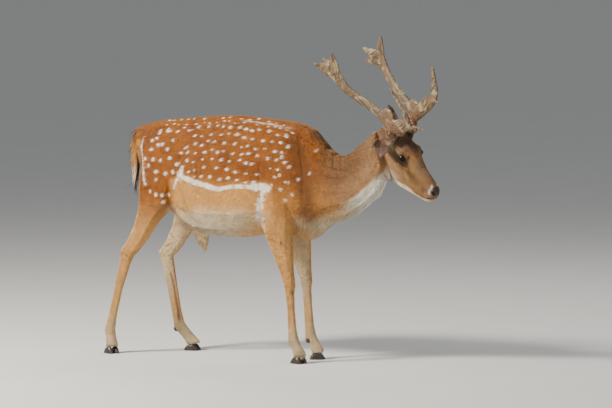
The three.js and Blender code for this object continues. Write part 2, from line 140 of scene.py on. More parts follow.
def joined_copy(nodes, name):
    """Copies of CAD nodes as one object with shared corners merged."""
    copies = []
    for node in nodes:
        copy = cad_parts[node].copy()
        copy.data = copy.data.copy()
        copy.parent = None
        for key in list(copy.keys()):
            del copy[key]
        copy.data.materials.clear()
        bpy.context.scene.collection.objects.link(copy)
        copies.append(copy)
    select_only(*copies)
    if len(copies) > 1:
        bpy.ops.object.join()
    whole = bpy.context.view_layer.objects.active
    whole.name = whole.data.name = name
    bpy.ops.object.mode_set(mode="EDIT")
    bpy.ops.mesh.select_all(action="SELECT")
    bpy.ops.mesh.remove_doubles(threshold=0.02 * MM)
    bpy.ops.object.mode_set(mode="OBJECT")
    return whole


def apply_modifier(piece, kind, **settings):
    select_only(piece)
    modifier = piece.modifiers.new(kind.title(), kind)
    for key, value in settings.items():
        setattr(modifier, key, value)
    bpy.ops.object.modifier_apply(modifier=modifier.name)


def points_of(piece):
    flat = np.empty(len(piece.data.vertices) * 3, np.float32)
    piece.data.vertices.foreach_get("co", flat)
    return flat.reshape(-1, 3).astype(float)


def normals_of(piece):
    flat = np.empty(len(piece.data.vertices) * 3, np.float32)
    piece.data.vertex_normals.foreach_get("vector", flat)
    return flat.reshape(-1, 3).astype(float)


def set_points(piece, points):
    piece.data.vertices.foreach_set("co", points.astype(np.float32).ravel())
    piece.data.update()


def weigh(piece, name, amount, steps, least=0):
    """Give every point a weight in a named group, rounded to equal steps."""
    group = piece.vertex_groups.new(name=name)
    levels = np.clip(np.round(amount * steps).astype(int), least, steps)
    for level in np.unique(levels):
        group.add(np.flatnonzero(levels == level).tolist(), level / steps, "REPLACE")


def smooth_shaded(piece):
    select_only(piece)
    bpy.ops.object.shade_smooth()

# %% [markdown]
# The skin is one surface. Copies of all the flesh solids are joined, swelled a little so that the thin
# cuts between them close, and remeshed in voxels, which fuses them. Smoothing then melts the facets:
# strongly on the barrel, where they are broad, and hardly at all on the slim legs and ears.

# %% Fuse the flesh
SKIN_VOXEL = 2.7 * MM
SWELL = 0.8 * MM
SKIN_TRIANGLES = 96000
LONGEST_EDGE = 6.4 * MM
NOT_FLESH = ("eye", "antler", "claw", "dewclaw")
flesh = [n for n in sorted(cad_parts) if not n.startswith(NOT_FLESH)]


def fused(nodes, name, voxel):
    piece = joined_copy(nodes, name)
    apply_modifier(piece, "DISPLACE", strength=SWELL, mid_level=0)
    apply_modifier(piece, "REMESH", mode="VOXEL", voxel_size=voxel)
    return piece


skin = fused(flesh, "skin", SKIN_VOXEL)
print("fused skin", len(skin.data.vertices), "points")

# %% [markdown]
# The body is mapped by its parts. Each part is a line, such as the barrel from chest to rump or a shank
# from knee to fetlock, found from the solids' own ends. A point belongs to each part by its nearness to
# that line, so every property of the coat can blend smoothly from one part to the next. The line also
# points the way the hair lies: back along the face, neck and barrel, and down the legs.

# %% The parts of the body
def ends(node, direction):
    """Middle of the node's two end zones along a direction: first the near end, then the far one."""
    points = points_of(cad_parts[node])
    reach = points @ np.asarray(direction, float)
    low, high = reach.min(), reach.max()
    zone = 0.08 * (high - low)
    return [points[reach < low + zone].mean(0), points[reach > high - zone].mean(0)]


DOWN = np.array([0, 0, -1.0])
NAMES = ("fore_right", "fore_left", "hind_right", "hind_left")
parts = {}


def add_part(name, start, end, radius):
    parts[name] = (np.asarray(start, float), np.asarray(end, float), radius)


add_part("barrel", BODY + [0.10, 0, 0.68], BODY + [-0.50, 0, 0.72], 0.13)
add_part("neck", BODY + [0.385, 0, 0.74], BODY + [0.17, 0, 0.68], 0.07)
add_part("face", from_head([0.28, 0, -0.05]), from_head([0.0, 0, -0.06]), 0.045)
add_part("tail", *ends("tail", DOWN), 0.02)
for name in NAMES:
    upper = ("thigh_" if name.startswith("hind") else "forearm_") + name
    top, joint = ends(upper, DOWN)
    fetlock = ends(f"cannon_{name}", DOWN)[1]
    foot = ends(f"pastern_{name}", DOWN)[1]
    shoulder = 0.35 if name.startswith("hind") else 0.5
    add_part(f"upper_{name}", top + (joint - top) * shoulder, joint, 0.05)
    add_part(f"shank_{name}", joint, fetlock, 0.02)
    add_part(f"foot_{name}", fetlock, foot, 0.022)
for word in ("right", "left"):
    points = points_of(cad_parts[f"ear_{word}"])
    distance = np.linalg.norm(points - POLL, axis=1)
    root = points[distance < np.percentile(distance, 12)].mean(0)
    tip = points[distance > np.percentile(distance, 97)].mean(0)
    add_part(f"ear_{word}", root + (root - tip) * 0.2, tip, 0.012)
PART_NAMES = list(parts)
BLEND = 0.018

# %% [markdown]
# With the parts known, any property can be given by part and blended. A deer's tail hangs so close to its
# rump that nearness alone can't tell them apart, so all that lies behind the rump is counted as tail.

# %% Which part a place belongs to
def membership(points):
    """How much each point belongs to each part: one row per point, one column per part."""
    gaps = []
    for start, end, radius in parts.values():
        line = end - start
        t = np.clip((points - start) @ line / (line @ line), 0, 1)
        gaps.append(np.linalg.norm(points - start - t[:, None] * line, axis=1) - radius)
    gaps = np.stack(gaps, axis=1)
    gaps[:, PART_NAMES.index("tail")] -= 0.06 * fade(-to_body(points)[:, 0], 0.592, 0.602)
    weight = np.exp(-(gaps - gaps.min(1, keepdims=True)) / BLEND)
    return weight / weight.sum(1, keepdims=True)


def by_part(share, **values):
    """A property given for some parts by the start of their names, blended over the body."""
    column = []
    for name in PART_NAMES:
        keys = [k for k in values if name.startswith(k)]
        column.append(values[max(keys, key=len)] if keys else values["other"])
    return share @ np.array(column, float)


print(len(parts), "parts")

# %% [markdown]
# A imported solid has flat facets, and a living body has none. A subdivision would keep their edges as soft
# ridges, so the voxel surface is relaxed instead. Every point has a weight for it: the broad barrel is
# relaxed fully, while slim legs and ears, which would shrink, are hardly touched.

# %% Melt the facets
SMOOTH_PASSES = 100
share = membership(points_of(skin))
melt = by_part(share, other=0.1, barrel=1.0, neck=0.9, face=0.05, ear=0.04, tail=0.3, upper=0.65, foot=0.05)
weigh(skin, "melt", melt, steps=40, least=1)
apply_modifier(skin, "SMOOTH", factor=0.5, iterations=SMOOTH_PASSES, vertex_group="melt")
skin.vertex_groups.clear()
print("melted in", SMOOTH_PASSES, "passes")

# %% [markdown]
# The muscles, joints and hollows are pushed into the skin from a short list. Each entry is a soft bump
# (or a hollow, where it is negative) at a place on the right side, repeated on the left.

# %% Muscles and joints
# place in the body's frame, reach along x, y and z, and height, all in millimetres
BODY_FORMS = {
    "shoulder blade": [(70, -100, 740), (45, 40, 75), 3.5],
    "behind the shoulder": [(-22, -125, 650), (16, 40, 90), -4.0],
    "upper arm": [(40, -112, 585), (48, 40, 42), 4.0],
    "behind the elbow": [(-30, -100, 500), (20, 40, 30), -4.0],
    "point of the shoulder": [(148, -60, 600), (30, 30, 38), 3.0],
    "before the shoulder": [(122, -80, 690), (26, 34, 90), -2.4],
    "flank hollow": [(-345, -120, 715), (36, 40, 50), -7.0],
    "flank fold": [(-352, -115, 560), (22, 40, 42), -4.0],
    "hip bone": [(-412, -88, 812), (24, 24, 18), 3.5],
    "haunch": [(-455, -118, 690), (60, 40, 85), 3.0],
    "rump groove": [(-535, -80, 700), (12, 40, 90), -3.0],
    "last rib": [(-268, -135, 640), (16, 40, 90), 1.5],
    "windpipe groove": [(300, -52, 655), (70, 25, 18), -3.0],
    "neck muscle": [(300, -55, 705), (80, 30, 22), 2.0],
}


def bump(local, centre, reach, height):
    return height * np.exp(-(((local - centre) / reach) ** 2).sum(1))


points, normals = points_of(skin), normals_of(skin)
body = to_body(points) / MM
rise = np.zeros(len(points))
for centre, reach, height in BODY_FORMS.values():
    for side in (RIGHT, LEFT):
        mirrored = np.array(centre) * [1, -side, 1]
        rise += bump(body, mirrored, np.array(reach), height)

# Tendons stand off the bone down the back of each shank, with a groove between on both faces.
for name in NAMES:
    start, end, _ = parts[f"shank_{name}"]
    line = end - start
    t = (points - start) @ line / (line @ line)
    off = points - start - t[:, None] * line
    across = np.cross(unit(line), [0, 1, 0])
    behind = off @ across
    aside = np.abs(off @ np.array([0, 1, 0]))
    band = fade(t, 0.12, 0.3) * (1 - fade(t, 0.8, 0.92))
    groove = np.exp(-((np.abs(behind) - 2 * MM) / (3.2 * MM)) ** 2)
    rise -= 1.8 * band * groove * fade(aside, 3 * MM, 8 * MM)
points += normals * rise[:, None] * MM
set_points(skin, points)
print(len(BODY_FORMS), "forms; highest", rise.max().round(1), "lowest", rise.min().round(1), "mm")

# %% [markdown]
# The face is shaped in the head's frame in the same way, and then given its openings. The lids are the
# skin drawn over the front of the eyeball, with an almond opening; inside the opening the skin is
# drawn in behind the ball. The nostrils and the mouth are narrow grooves along short lines.

# %% Shape the face
FACE_FORMS = {
    "brow ridge": [(104, -40, 14), (24, 12, 8), 3.0],
    "temple": [(70, -42, -22), (22, 12, 16), -3.0],
    "cheek": [(112, -40, -88), (42, 16, 34), 2.5],
    "under the eye": [(138, -38, -34), (26, 12, 9), -2.5],
    "tear pit": [(146, -34, -12), (12, 10, 5), -3.5],
    "cheek bone": [(128, -42, -26), (30, 12, 7), 2.0],
    "side of the nose": [(205, -28, -35), (34, 10, 16), -2.5],
    "upper lip": [(262, -20, -58), (18, 10, 10), 2.0],
    "nose wing": [(272, -18, -34), (9, 8, 9), 2.5],
    "chin": [(268, -10, -84), (12, 12, 9), 1.5],
    "jaw edge": [(150, -24, -132), (50, 12, 12), 1.5],
    "below the cheek": [(178, -28, -92), (24, 12, 16), -2.0],
}
NOSE_EDGE, NOSE_SLANT, NOSE_FOOT = 265, 0.4, -45
NOSTRIL = [(0, 7, -42), (0, 11, -36), (0, 14.5, -30), (0, 16, -25)]
MOUTH = [(222, -93), (246, -84), (270, -70), (284, -61), (300, -58)]
points, normals = points_of(skin), normals_of(skin)
face = to_head(points) / MM
near_head = face[:, 0] > -20
rise = np.zeros(len(points))
for centre, reach, height in FACE_FORMS.values():
    for side in (RIGHT, LEFT):
        rise += bump(face, np.array(centre) * [1, -side, 1], np.array(reach), height)


def distance_to_line(local, line):
    """Least distance to a line of points."""
    best = np.full(len(local), 1e9)
    for start, end in zip(line, line[1:]):
        start, along = np.array(start, float), np.array(end, float) - np.array(start, float)
        t = np.clip((local - start) @ along / (along @ along), 0, 1)
        best = np.minimum(best, np.linalg.norm(local - start - t[:, None] * along, axis=1))
    return best


def mouth_gap(local):
    """Distance to the slit between the lips, which wraps round the muzzle."""
    height = np.interp(local[:, 0], *np.array(MOUTH, float).T)
    return np.hypot((local[:, 2] - height) * 0.87, np.maximum(MOUTH[0][0] - local[:, 0], 0))


def nostril_gap(local):
    """Distance to the nostril's line, seen from the front."""
    seen = np.stack([np.zeros(len(local)), np.abs(local[:, 1]), local[:, 2]], axis=1)
    return distance_to_line(seen, NOSTRIL) + 99 * (local[:, 0] < 266)


rise *= near_head
rise -= 3.4 * np.exp(-((mouth_gap(face) / 2.2) ** 2)) + 5.0 * np.exp(-((nostril_gap(face) / 2.8) ** 2))
rise += 1.3 * np.exp(-(((mouth_gap(face) - 5.5) / 3) ** 2)) * (face[:, 0] > 225)
rise += 1.2 * np.exp(-(((nostril_gap(face) - 5) / 2) ** 2)) * (face[:, 0] > 272)
rise -= 1.2 * np.exp(-((face[:, 1] / 1.6) ** 2)) * fade(face[:, 0], 276, 284) * (face[:, 2] > -58)
points += normals * (rise * MM)[:, None]
set_points(skin, points)

# %% [markdown]
# Near the eyes, nose and mouth the skin needs finer mesh than elsewhere, so its faces there are divided.
# Away from them it can be much coarser, and a weighted decimation takes it down to a fair size.

# %% Finer mesh on the face
EYE_BALL = 13.4 * MM
FINE_BY_EYE = 26 * MM
FINE_FROM, FINE_ASIDE = 214, 60    # millimetres from the poll, and from the head's middle
EYES = {side: from_head([EYE_FROM_POLL[0], side * EYE_SPREAD, EYE_FROM_POLL[2]]) for side in (RIGHT, LEFT)}


def subdivide_near(piece, wanted):
    mesh = piece.data
    centres = np.empty(len(mesh.polygons) * 3, np.float32)
    mesh.polygons.foreach_get("center", centres)
    chosen = wanted(centres.reshape(-1, 3).astype(float))
    select_only(piece)
    bpy.ops.object.mode_set(mode="EDIT")
    bpy.ops.mesh.select_all(action="DESELECT")
    bpy.ops.mesh.select_mode(type="FACE")
    bpy.ops.object.mode_set(mode="OBJECT")
    mesh.polygons.foreach_set("select", chosen)
    bpy.ops.object.mode_set(mode="EDIT")
    bpy.ops.mesh.subdivide(number_cuts=1, smoothness=0)
    bpy.ops.mesh.select_all(action="DESELECT")
    bpy.ops.object.mode_set(mode="OBJECT")


def by_the_eyes(centres):
    return np.minimum(*(np.linalg.norm(centres - EYES[s], axis=1) for s in (RIGHT, LEFT))) < FINE_BY_EYE


def by_the_mouth(centres):
    local = to_head(centres) / MM
    return (local[:, 0] > FINE_FROM) & (np.abs(local[:, 1]) < FINE_ASIDE)


subdivide_near(skin, by_the_eyes)
subdivide_near(skin, by_the_mouth)
print("skin with a fine face", len(skin.data.vertices), "points")

# %% [markdown]
# A deer's lids are thin rims of skin that lie on the eyeball and leave an almond opening. They could be
# separate rings, but then a seam would show, so the skin itself is moved. Outside the opening it is drawn
# over the ball as a thin shell, thickest at the upper rim, and inside the opening it goes behind the ball.

# %% Lids
LID = 1.5 * MM
OPENING = {"long": 13.6, "high": 8.8, "low": 7.4}
ALMOND = 1.7        # 2 would be an oval; less is more pointed
LID_REACH = 34      # how far from the ball's middle the face is drawn over it
BEHIND_LID = 4.5    # how far the skin inside the opening goes behind the ball's surface
points = points_of(skin)
face = to_head(points) / MM
eye_centre = EYE_FROM_POLL / MM
for side in (RIGHT, LEFT):
    out = unit(np.array([0.34, side * 0.93, 0.16]))
    along = unit(np.array([0.93, -side * 0.34, 0.12]))
    along = unit(along - (along @ out) * out)
    above = np.cross(along, out) * -side
    if above[2] < 0:
        above = -above
    local = face - [eye_centre[0], side * EYE_SPREAD / MM, eye_centre[2]]
    u, v, w = local @ along, local @ above, local @ out
    height = np.where(v > 0, OPENING["high"], OPENING["low"])
    ring = (np.abs(u / OPENING["long"]) ** ALMOND + np.abs(v / height) ** ALMOND) ** (1 / ALMOND)
    reach = np.linalg.norm(local, axis=1)
    facing = (w > 1) & (reach < LID_REACH)
    ball = EYE_BALL / MM
    sphere = np.maximum(reach, 1e-6)
    # The lid wraps the ball from the opening's rim outward, thickest at the rim, and fades into the face.
    shell = ball + LID / MM * (1 + 0.5 * np.exp(-((ring - 1.12) / 0.12) ** 2) * np.where(v > 0, 1.6, 1))
    blend = (1 - fade(ring, 1.3, 2.3)) * facing
    lifted = np.maximum(reach, shell) * (ring < 1.9) + reach * (ring >= 1.9)
    lid_reach = np.where(ring < 1.35, shell, lifted)
    drawn = ball - BEHIND_LID
    target = np.where(ring < 1, drawn + (shell - drawn) * fade(ring, 0.9, 1.0), lid_reach)
    moved = face + local / sphere[:, None] * (target - reach)[:, None] * blend[:, None]
    face = np.where(facing[:, None], moved, face)
set_points(skin, from_head(face * MM))
apply_modifier(skin, "SMOOTH", factor=0.35, iterations=1)
print("lids drawn over balls of", EYE_BALL / MM, "mm")

# %% [markdown]
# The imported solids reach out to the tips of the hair, so the skin has to lie deeper by the depth of the
# coat: a millimetre on the face, four on the neck, and more under the throat and belly. Round the eyes,
# at the nose and at the hooves' rim it hardly moves, because little or no hair grows there.

# %% Draw the skin in by the depth of the coat
points, normals = points_of(skin), normals_of(skin)
share = membership(points)
body = to_body(points)
face = to_head(points)
depth = by_part(share, other=1.6, barrel=3.4, neck=4.0, face=1.2, ear=0.5, tail=7.0, upper=2.4, foot=1.5)
under = fade(-normals[:, 2], 0.2, 0.8)
on_neck = by_part(share, other=0, neck=1)
on_barrel = by_part(share, other=0, barrel=1)
depth += 4.5 * under * on_neck + 2.0 * under * on_barrel
lids = np.minimum(*(np.linalg.norm(points - EYES[s], axis=1) for s in (RIGHT, LEFT)))
depth *= fade(lids, 14 * MM, 26 * MM)
depth *= 1 - 0.9 * fade(face[:, 0], 0.255, 0.272)
sole = fade(points[:, 2], 0.026, 0.05)
depth *= 0.3 + 0.7 * sole
points -= normals * (depth * MM)[:, None]
points += normals * (0.35 * MM * noise(points, 0.011) * on_barrel)[:, None]
set_points(skin, points)

# %% [markdown]
# The voxel mesh is as dense on the plain flank as on the lips, which wastes triangles. A decimation with
# weights takes most of them from the barrel and neck and leaves the eyes and the muzzle alone.

# %% Thin the mesh where it is plain
points = points_of(skin)
face = to_head(points)
share = membership(points)
keep = by_part(share, other=0.45, barrel=0.0, neck=0.05, face=0.7, ear=0.7, upper=0.1, tail=0.2, foot=0.5)
keep = np.maximum(keep, fade(face[:, 0], 0.2, 0.22) * (face[:, 2] > -0.2) * by_part(share, other=0, face=1))
keep = np.maximum(keep, 1 - fade(lids, FINE_BY_EYE, LID_REACH * MM))
weigh(skin, "plain", 1 - keep, steps=20)
apply_modifier(skin, "TRIANGULATE")
ratio = SKIN_TRIANGLES / len(skin.data.polygons)
if ratio < 1:
    apply_modifier(skin, "DECIMATE", ratio=ratio, vertex_group="plain", vertex_group_factor=4)
skin.vertex_groups.clear()
# Flat places come out in broad triangles, too coarse to hold a marking, so long edges are cut in two.
for _ in range(3):
    draft = bmesh.new()
    draft.from_mesh(skin.data)
    over = [edge for edge in draft.edges if edge.calc_length() > LONGEST_EDGE]
    bmesh.ops.subdivide_edges(draft, edges=over, cuts=1)
    bmesh.ops.triangulate(draft, faces=draft.faces[:])
    draft.to_mesh(skin.data)
    draft.free()
    print("cut", len(over), "long edges")
smooth_shaded(skin)
print("skin", len(skin.data.polygons), "triangles")

# %% [markdown]
# The markings are one function of a place on the body. Skin and coat both ask it for their colour, so
# they always agree. Colours are written as a painter would mix them and turned to linear light.

# %% Colours
# Strong light washes colour out, so each one is mixed a little deeper than it should look.
RICHER, DEEPER = 1.30, 0.80


def paint(red, green, blue):
    value = np.array([red, green, blue]) / 255
    linear = np.where(value <= 0.04045, value / 12.92, ((value + 0.055) / 1.055) ** 2.4)
    grey = linear @ np.array([0.21, 0.72, 0.07])
    return np.clip((grey + (linear - grey) * RICHER) * DEEPER, 0.002, 1)


RUST = paint(153, 97, 53)
DEEP_RUST = paint(122, 70, 36)
SANDY = paint(212, 166, 114)
TAN = paint(206, 156, 104)
PALE_TAN = paint(226, 190, 144)
CREAM = paint(226, 210, 182)
WHITE = paint(255, 250, 240) * 1.15
RIDGE_BROWN = paint(124, 92, 66)
NECK_BROWN = paint(134, 100, 72)
GREY_BROWN = paint(134, 110, 88)
BROW_BROWN = paint(80, 57, 41)
STAIN_RED = paint(122, 78, 66)
LEG_TAN = paint(216, 170, 122)
SHADOW_BROWN = paint(98, 60, 34)
BROW_ORANGE = paint(178, 130, 86)
BLACK_HAIR = paint(44, 36, 34)
NOSE_BLACK = paint(30, 25, 25)
NOSE_GREY = paint(66, 56, 54)
DUSK_BROWN = paint(88, 70, 56)
EAR_PINK = paint(118, 94, 88)
CHESTNUT = paint(110, 66, 40)
LIP_PINK = paint(160, 126, 108)
NECK_TAN = paint(186, 150, 118)

# %% [markdown]
# White markings have places of their own on a fallow deer: a stripe low along the flank, a line down the
# haunch, and spots in rows along the back. Each is a short table of places in the body's side view. The
# rows are strewn instead, with a seeded chance for each spot's size and place, as no two deer are alike.

# %% Where the markings lie
# Height of the back line along the body, and how the white flank stripe runs, in metres.
BACK_LINE = [(-0.60, 0.826), (-0.48, 0.866), (-0.40, 0.876), (-0.21, 0.890), (-0.04, 0.880), (0.035, 0.872),
             (0.104, 0.858), (0.168, 0.806), (0.228, 0.753), (0.258, 0.749), (0.320, 0.792), (0.384, 0.838)]
FLANK_STRIPE = [(-0.338, 0.697), (-0.349, 0.668), (-0.294, 0.652), (-0.245, 0.640), (-0.179, 0.624),
                (-0.137, 0.634), (-0.095, 0.638), (-0.040, 0.636), (0.010, 0.634)]
STRIPE_TAIL = [(-0.349, 0.668), (-0.374, 0.621)]
ELBOW_WHITE = [(0.000, 0.636), (-0.019, 0.588), (-0.033, 0.532), (-0.029, 0.480)]
# The band before the shoulder: partly darker hair, partly painted shade.
SHOULDER_SHADE_BAND = [(0.090, 0.800), (0.124, 0.740), (0.136, 0.680), (0.152, 0.560)]
STRIPE_BREAKS = (-0.115, -0.075)
HAUNCH_LINE = [(-0.518, 0.801), (-0.524, 0.775), (-0.518, 0.743), (-0.513, 0.701), (-0.503, 0.660),
               (-0.493, 0.633)]
HAUNCH_SPOTS = [(-0.444, 0.652), (-0.469, 0.612), (-0.445, 0.600), (-0.431, 0.722), (-0.462, 0.725),
                (-0.473, 0.761), (-0.430, 0.780), (-0.485, 0.702), (-0.448, 0.681), (-0.409, 0.675),
                (-0.422, 0.598), (-0.400, 0.598), (-0.446, 0.776), (-0.474, 0.793), (-0.420, 0.830),
                (-0.386, 0.795), (-0.392, 0.731), (-0.361, 0.709), (-0.500, 0.727), (-0.452, 0.822),
                (-0.456, 0.801), (-0.406, 0.764), (-0.376, 0.681), (-0.420, 0.574)]
SHOULDER_SPOTS = [(0.063, 0.822), (0.080, 0.782), (0.060, 0.745), (0.090, 0.712), (0.055, 0.680),
                  (0.088, 0.655), (0.120, 0.668), (0.060, 0.628), (0.100, 0.612), (0.075, 0.590),
                  (0.175, 0.770), (0.160, 0.690)]
# Places of the spots, their size in metres and their strength.
SPOT_SETS = ((HAUNCH_SPOTS, 0.0055, 0.95), (SHOULDER_SPOTS, 0.0052, 0.6))
SPOT_ROWS = [0.036, 0.060, 0.086, 0.116, 0.146, 0.172, 0.200, 0.230, 0.258]


def mix(base, colour, amount):
    return base + (np.asarray(colour) - base) * np.clip(amount, 0, 1)[:, None]


def flat_distance(x, z, line):
    """Least distance in the side view to a line of places."""
    best = np.full(len(x), 1e9)
    for (x0, z0), (x1, z1) in zip(line, line[1:]):
        dx, dz = x1 - x0, z1 - z0
        t = np.clip(((x - x0) * dx + (z - z0) * dz) / (dx * dx + dz * dz), 0, 1)
        best = np.minimum(best, np.hypot(x - x0 - t * dx, z - z0 - t * dz))
    return best


def spots_on_rows(x, girth, side, ragged):
    """White spots in rows that follow the back, every row with its own spacing and start."""
    dice = np.random.default_rng(21 if side == RIGHT else 22)
    white = np.zeros(len(x))
    for row, centre in enumerate(SPOT_ROWS):
        step = 0.026 if row < 2 else 0.033
        place = -0.46 + dice.random() * step if row < 3 else -0.35 + dice.random() * step
        while place < 0.085:
            long = (0.0042 + 0.0030 * dice.random()) * (0.75 if row < 2 else 1.0)
            wide = long * (0.62 + 0.2 * dice.random())
            drop = centre + (dice.random() - 0.5) * 0.013
            lean = 0.28 * (dice.random() + 0.3)
            if dice.random() > 0.1:
                along = (x - place) + lean * (girth - drop)
                gap = np.hypot(along / long, (girth - drop) / wide)
                bright = 0.6 + 0.4 * dice.random()
                white = np.maximum(white, bright * (1 - fade(gap + ragged, 0.7, 1.5)))
            place += step * (0.7 + 0.6 * dice.random())
    return white


print(len(SPOT_ROWS), "rows of spots a side")

# %% [markdown]
# The trunk is rusty above, sandy below the stripe and cream under the belly. A painter would lay the broad
# colours first, then the mottling, and the white last, and the function mixes them in that order. Each
# edge is blurred a little by noise, since a coat has no drawn lines.

# %% Markings of the trunk
def trunk_markings(points, normals, belly_shown=1.0):
    x, y, z = to_body(points).T
    back = np.interp(x, *np.array(BACK_LINE).T)
    girth = np.hypot(y, np.maximum(back - z, 0))
    ruffle = noise(points, 0.05)
    grain = noise(points, 0.007)
    colour = np.tile(RUST, (len(x), 1))
    mottled = fade(ruffle + 0.6 * noise(points * [0.5, 1, 1], 0.016), -0.1, 0.9)
    colour = mix(colour, DEEP_RUST, 0.55 * mottled * fade(z, 0.62, 0.70))
    stripe_height = np.interp(x, *np.array(FLANK_STRIPE[1:]).T)
    low = z - stripe_height + 0.006 * grain
    colour = mix(colour, TAN, 0.75 * (1 - fade(low, 0.0, 0.035)) * (x < 0.03) * (x > -0.36))
    flank = (1 - fade(x, 0.0, 0.04)) * fade(x, -0.40, -0.37)
    colour = mix(colour, SANDY, (1 - fade(low, -0.02, 0.0)) * flank)
    belly = 1 - fade(z + 0.012 * ruffle + 0.007 * noise(points * [0.4, 1, 1], 0.012), 0.508, 0.572)
    colour = mix(colour, CREAM, belly_shown * belly * (1 - fade(x, 0.0, 0.06)) * fade(x, -0.46, -0.40))
    below = fade(-normals[:, 2], 0.35, 0.8) * (z < 0.56) * (1 - fade(x, 0.12, 0.2))
    colour = mix(colour, CREAM, belly_shown * below)
    # Shoulder and foreleg are brown above and sandy toward the elbow.
    colour = mix(colour, TAN, 0.6 * fade(x, 0.0, 0.04) * (1 - fade(z, 0.56, 0.68)))
    brisket = fade(-normals[:, 2], 0.0, 0.5) * fade(x, 0.07, 0.11) * (1 - fade(z, 0.52, 0.56))
    colour = mix(colour, CREAM, brisket)
    # Before the shoulder a band is darker brown: partly the coat's own darker hair, partly painted shade
    # where the shoulder's front turns from the light.
    band = flat_distance(x, z, SHOULDER_SHADE_BAND) + 0.006 * grain
    colour = mix(colour, SHADOW_BROWN, 0.72 * (1 - fade(band, 0.008, 0.050)) * (z < 0.84))
    # A band of darker brown runs along the spine.
    ridge = (1 - fade(girth + 0.004 * grain, 0.018, 0.040)) * fade(x, -0.58, -0.45)
    colour = mix(colour, RIDGE_BROWN, 0.8 * ridge)
    pale_line = np.exp(-(((girth - 0.050) / 0.005) ** 2))
    pale_line *= fade(x, -0.13, -0.10) * (1 - fade(x, 0.05, 0.09))
    colour = mix(colour, WHITE, 0.5 * pale_line * fade(grain, -0.7, -0.1))
    white = np.zeros(len(x))
    outside = {side: fade(side * normals[:, 1], -0.05, 0.15) * (side * y > 0) for side in (RIGHT, LEFT)}
    for side in (RIGHT, LEFT):
        rows = spots_on_rows(x, girth, side, 0.25 * grain)
        white = np.maximum(white, rows * (side * y > 0) * (low > 0.012))
        for places, size, strength in SPOT_SETS:
            for i, (px, pz) in enumerate(places):
                shift = 0 if side == RIGHT else 0.006 * math.sin(i * 5.1)
                own_size = size * (0.85 + 0.3 * ((i * 7) % 5) / 4)
                gap = np.hypot(x - px - shift, (z - pz + shift) * 0.9) / own_size
                spot = strength * (1 - fade(gap + 0.25 * grain, 0.7, 1.5))
                white = np.maximum(white, spot * outside[side])
    edge = 0.0026 * grain
    thick = 0.002 * (1 - fade(x, -0.26, -0.12))
    stripe = 1 - fade(flat_distance(x, z, FLANK_STRIPE) + edge - thick, 0.0052, 0.0088)
    for middle_x in STRIPE_BREAKS:
        stripe *= 1 - 0.85 * np.exp(-(((x - middle_x + 0.5 * (z - 0.636)) / 0.0045) ** 2))
    stripe = np.maximum(stripe, 1 - fade(flat_distance(x, z, STRIPE_TAIL) + edge, 0.003, 0.006))
    patch = 1 - fade(flat_distance(x, z, FLANK_STRIPE[-2:]) + 2 * edge, 0.011, 0.017)
    elbow = 0.85 * (1 - fade(flat_distance(x, z, ELBOW_WHITE) + 3 * edge, 0.004, 0.017))
    haunch = 1 - fade(flat_distance(x, z, HAUNCH_LINE) + edge, 0.0028, 0.0055)
    lines = np.maximum.reduce([stripe, patch, elbow, haunch]) * np.maximum(outside[RIGHT], outside[LEFT])
    white = np.maximum(white, lines * (np.abs(y) > 0.05))
    colour = mix(colour, TAN, 0.8 * (1 - fade(x, -0.545, -0.515)) * (z < 0.80))
    # The rump patch is white with a black rim, cut by the tail.
    rump = fade(-normals[:, 0], 0.35, 0.6) * (x < -0.45) * (z > 0.55)
    spread = np.hypot(y / 0.052, (z - 0.735) / 0.085)
    colour = mix(colour, BLACK_HAIR, rump * fade(spread, 0.78, 0.9) * (1 - fade(spread, 1.12, 1.3)))
    white = np.maximum(white, rump * (1 - fade(spread, 0.85, 0.95)))
    return mix(colour, WHITE, 0.95 * white)

# %% [markdown]
# The neck is greyer than the trunk, with a pale throat, and the head is darkest on the crown and round
# the eyes: partly its own dark brown, partly a painted shadow of the antlers and ears. The face's marks
# are given in the head's own frame, as distances to short lines and soft ellipsoids, so that they stay on
# the eye, lip or nose that they belong to.

# %% Markings of the neck and face
def neck_markings(points, normals):
    x, y, z = to_body(points).T
    back = np.interp(x, *np.array(BACK_LINE).T)
    grain = noise(points, 0.014)
    streak = noise(points * [1, 1, 0.35], 0.02)
    down = (back - z) / 0.2
    colour = np.tile(NECK_BROWN, (len(x), 1))
    colour = mix(colour, GREY_BROWN, 0.45 * fade(streak, -0.1, 0.7))
    colour = mix(colour, NECK_TAN, 0.65 * fade(down, 0.35, 0.75))
    colour = mix(colour, RUST, 0.5 * (1 - fade(x, 0.12, 0.22)) * (1 - fade(down, 0.4, 1.0)))
    colour = mix(colour, NECK_TAN, 0.6 * fade(x, 0.33, 0.39))
    under_line = np.interp(x, [0.15, 0.25, 0.33, 0.385, 0.43], [0.510, 0.552, 0.603, 0.650, 0.690])
    throat = 1 - fade(z + 0.010 * grain, under_line - 0.010, under_line + 0.022)
    colour = mix(colour, CREAM, throat)
    colour = mix(colour, WHITE, 0.8 * throat * fade(x, 0.27, 0.36))
    crest = (1 - fade(np.abs(y), 0.008, 0.022)) * (1 - fade(down, 0.05, 0.16))
    return mix(colour, RIDGE_BROWN, 0.55 * crest)


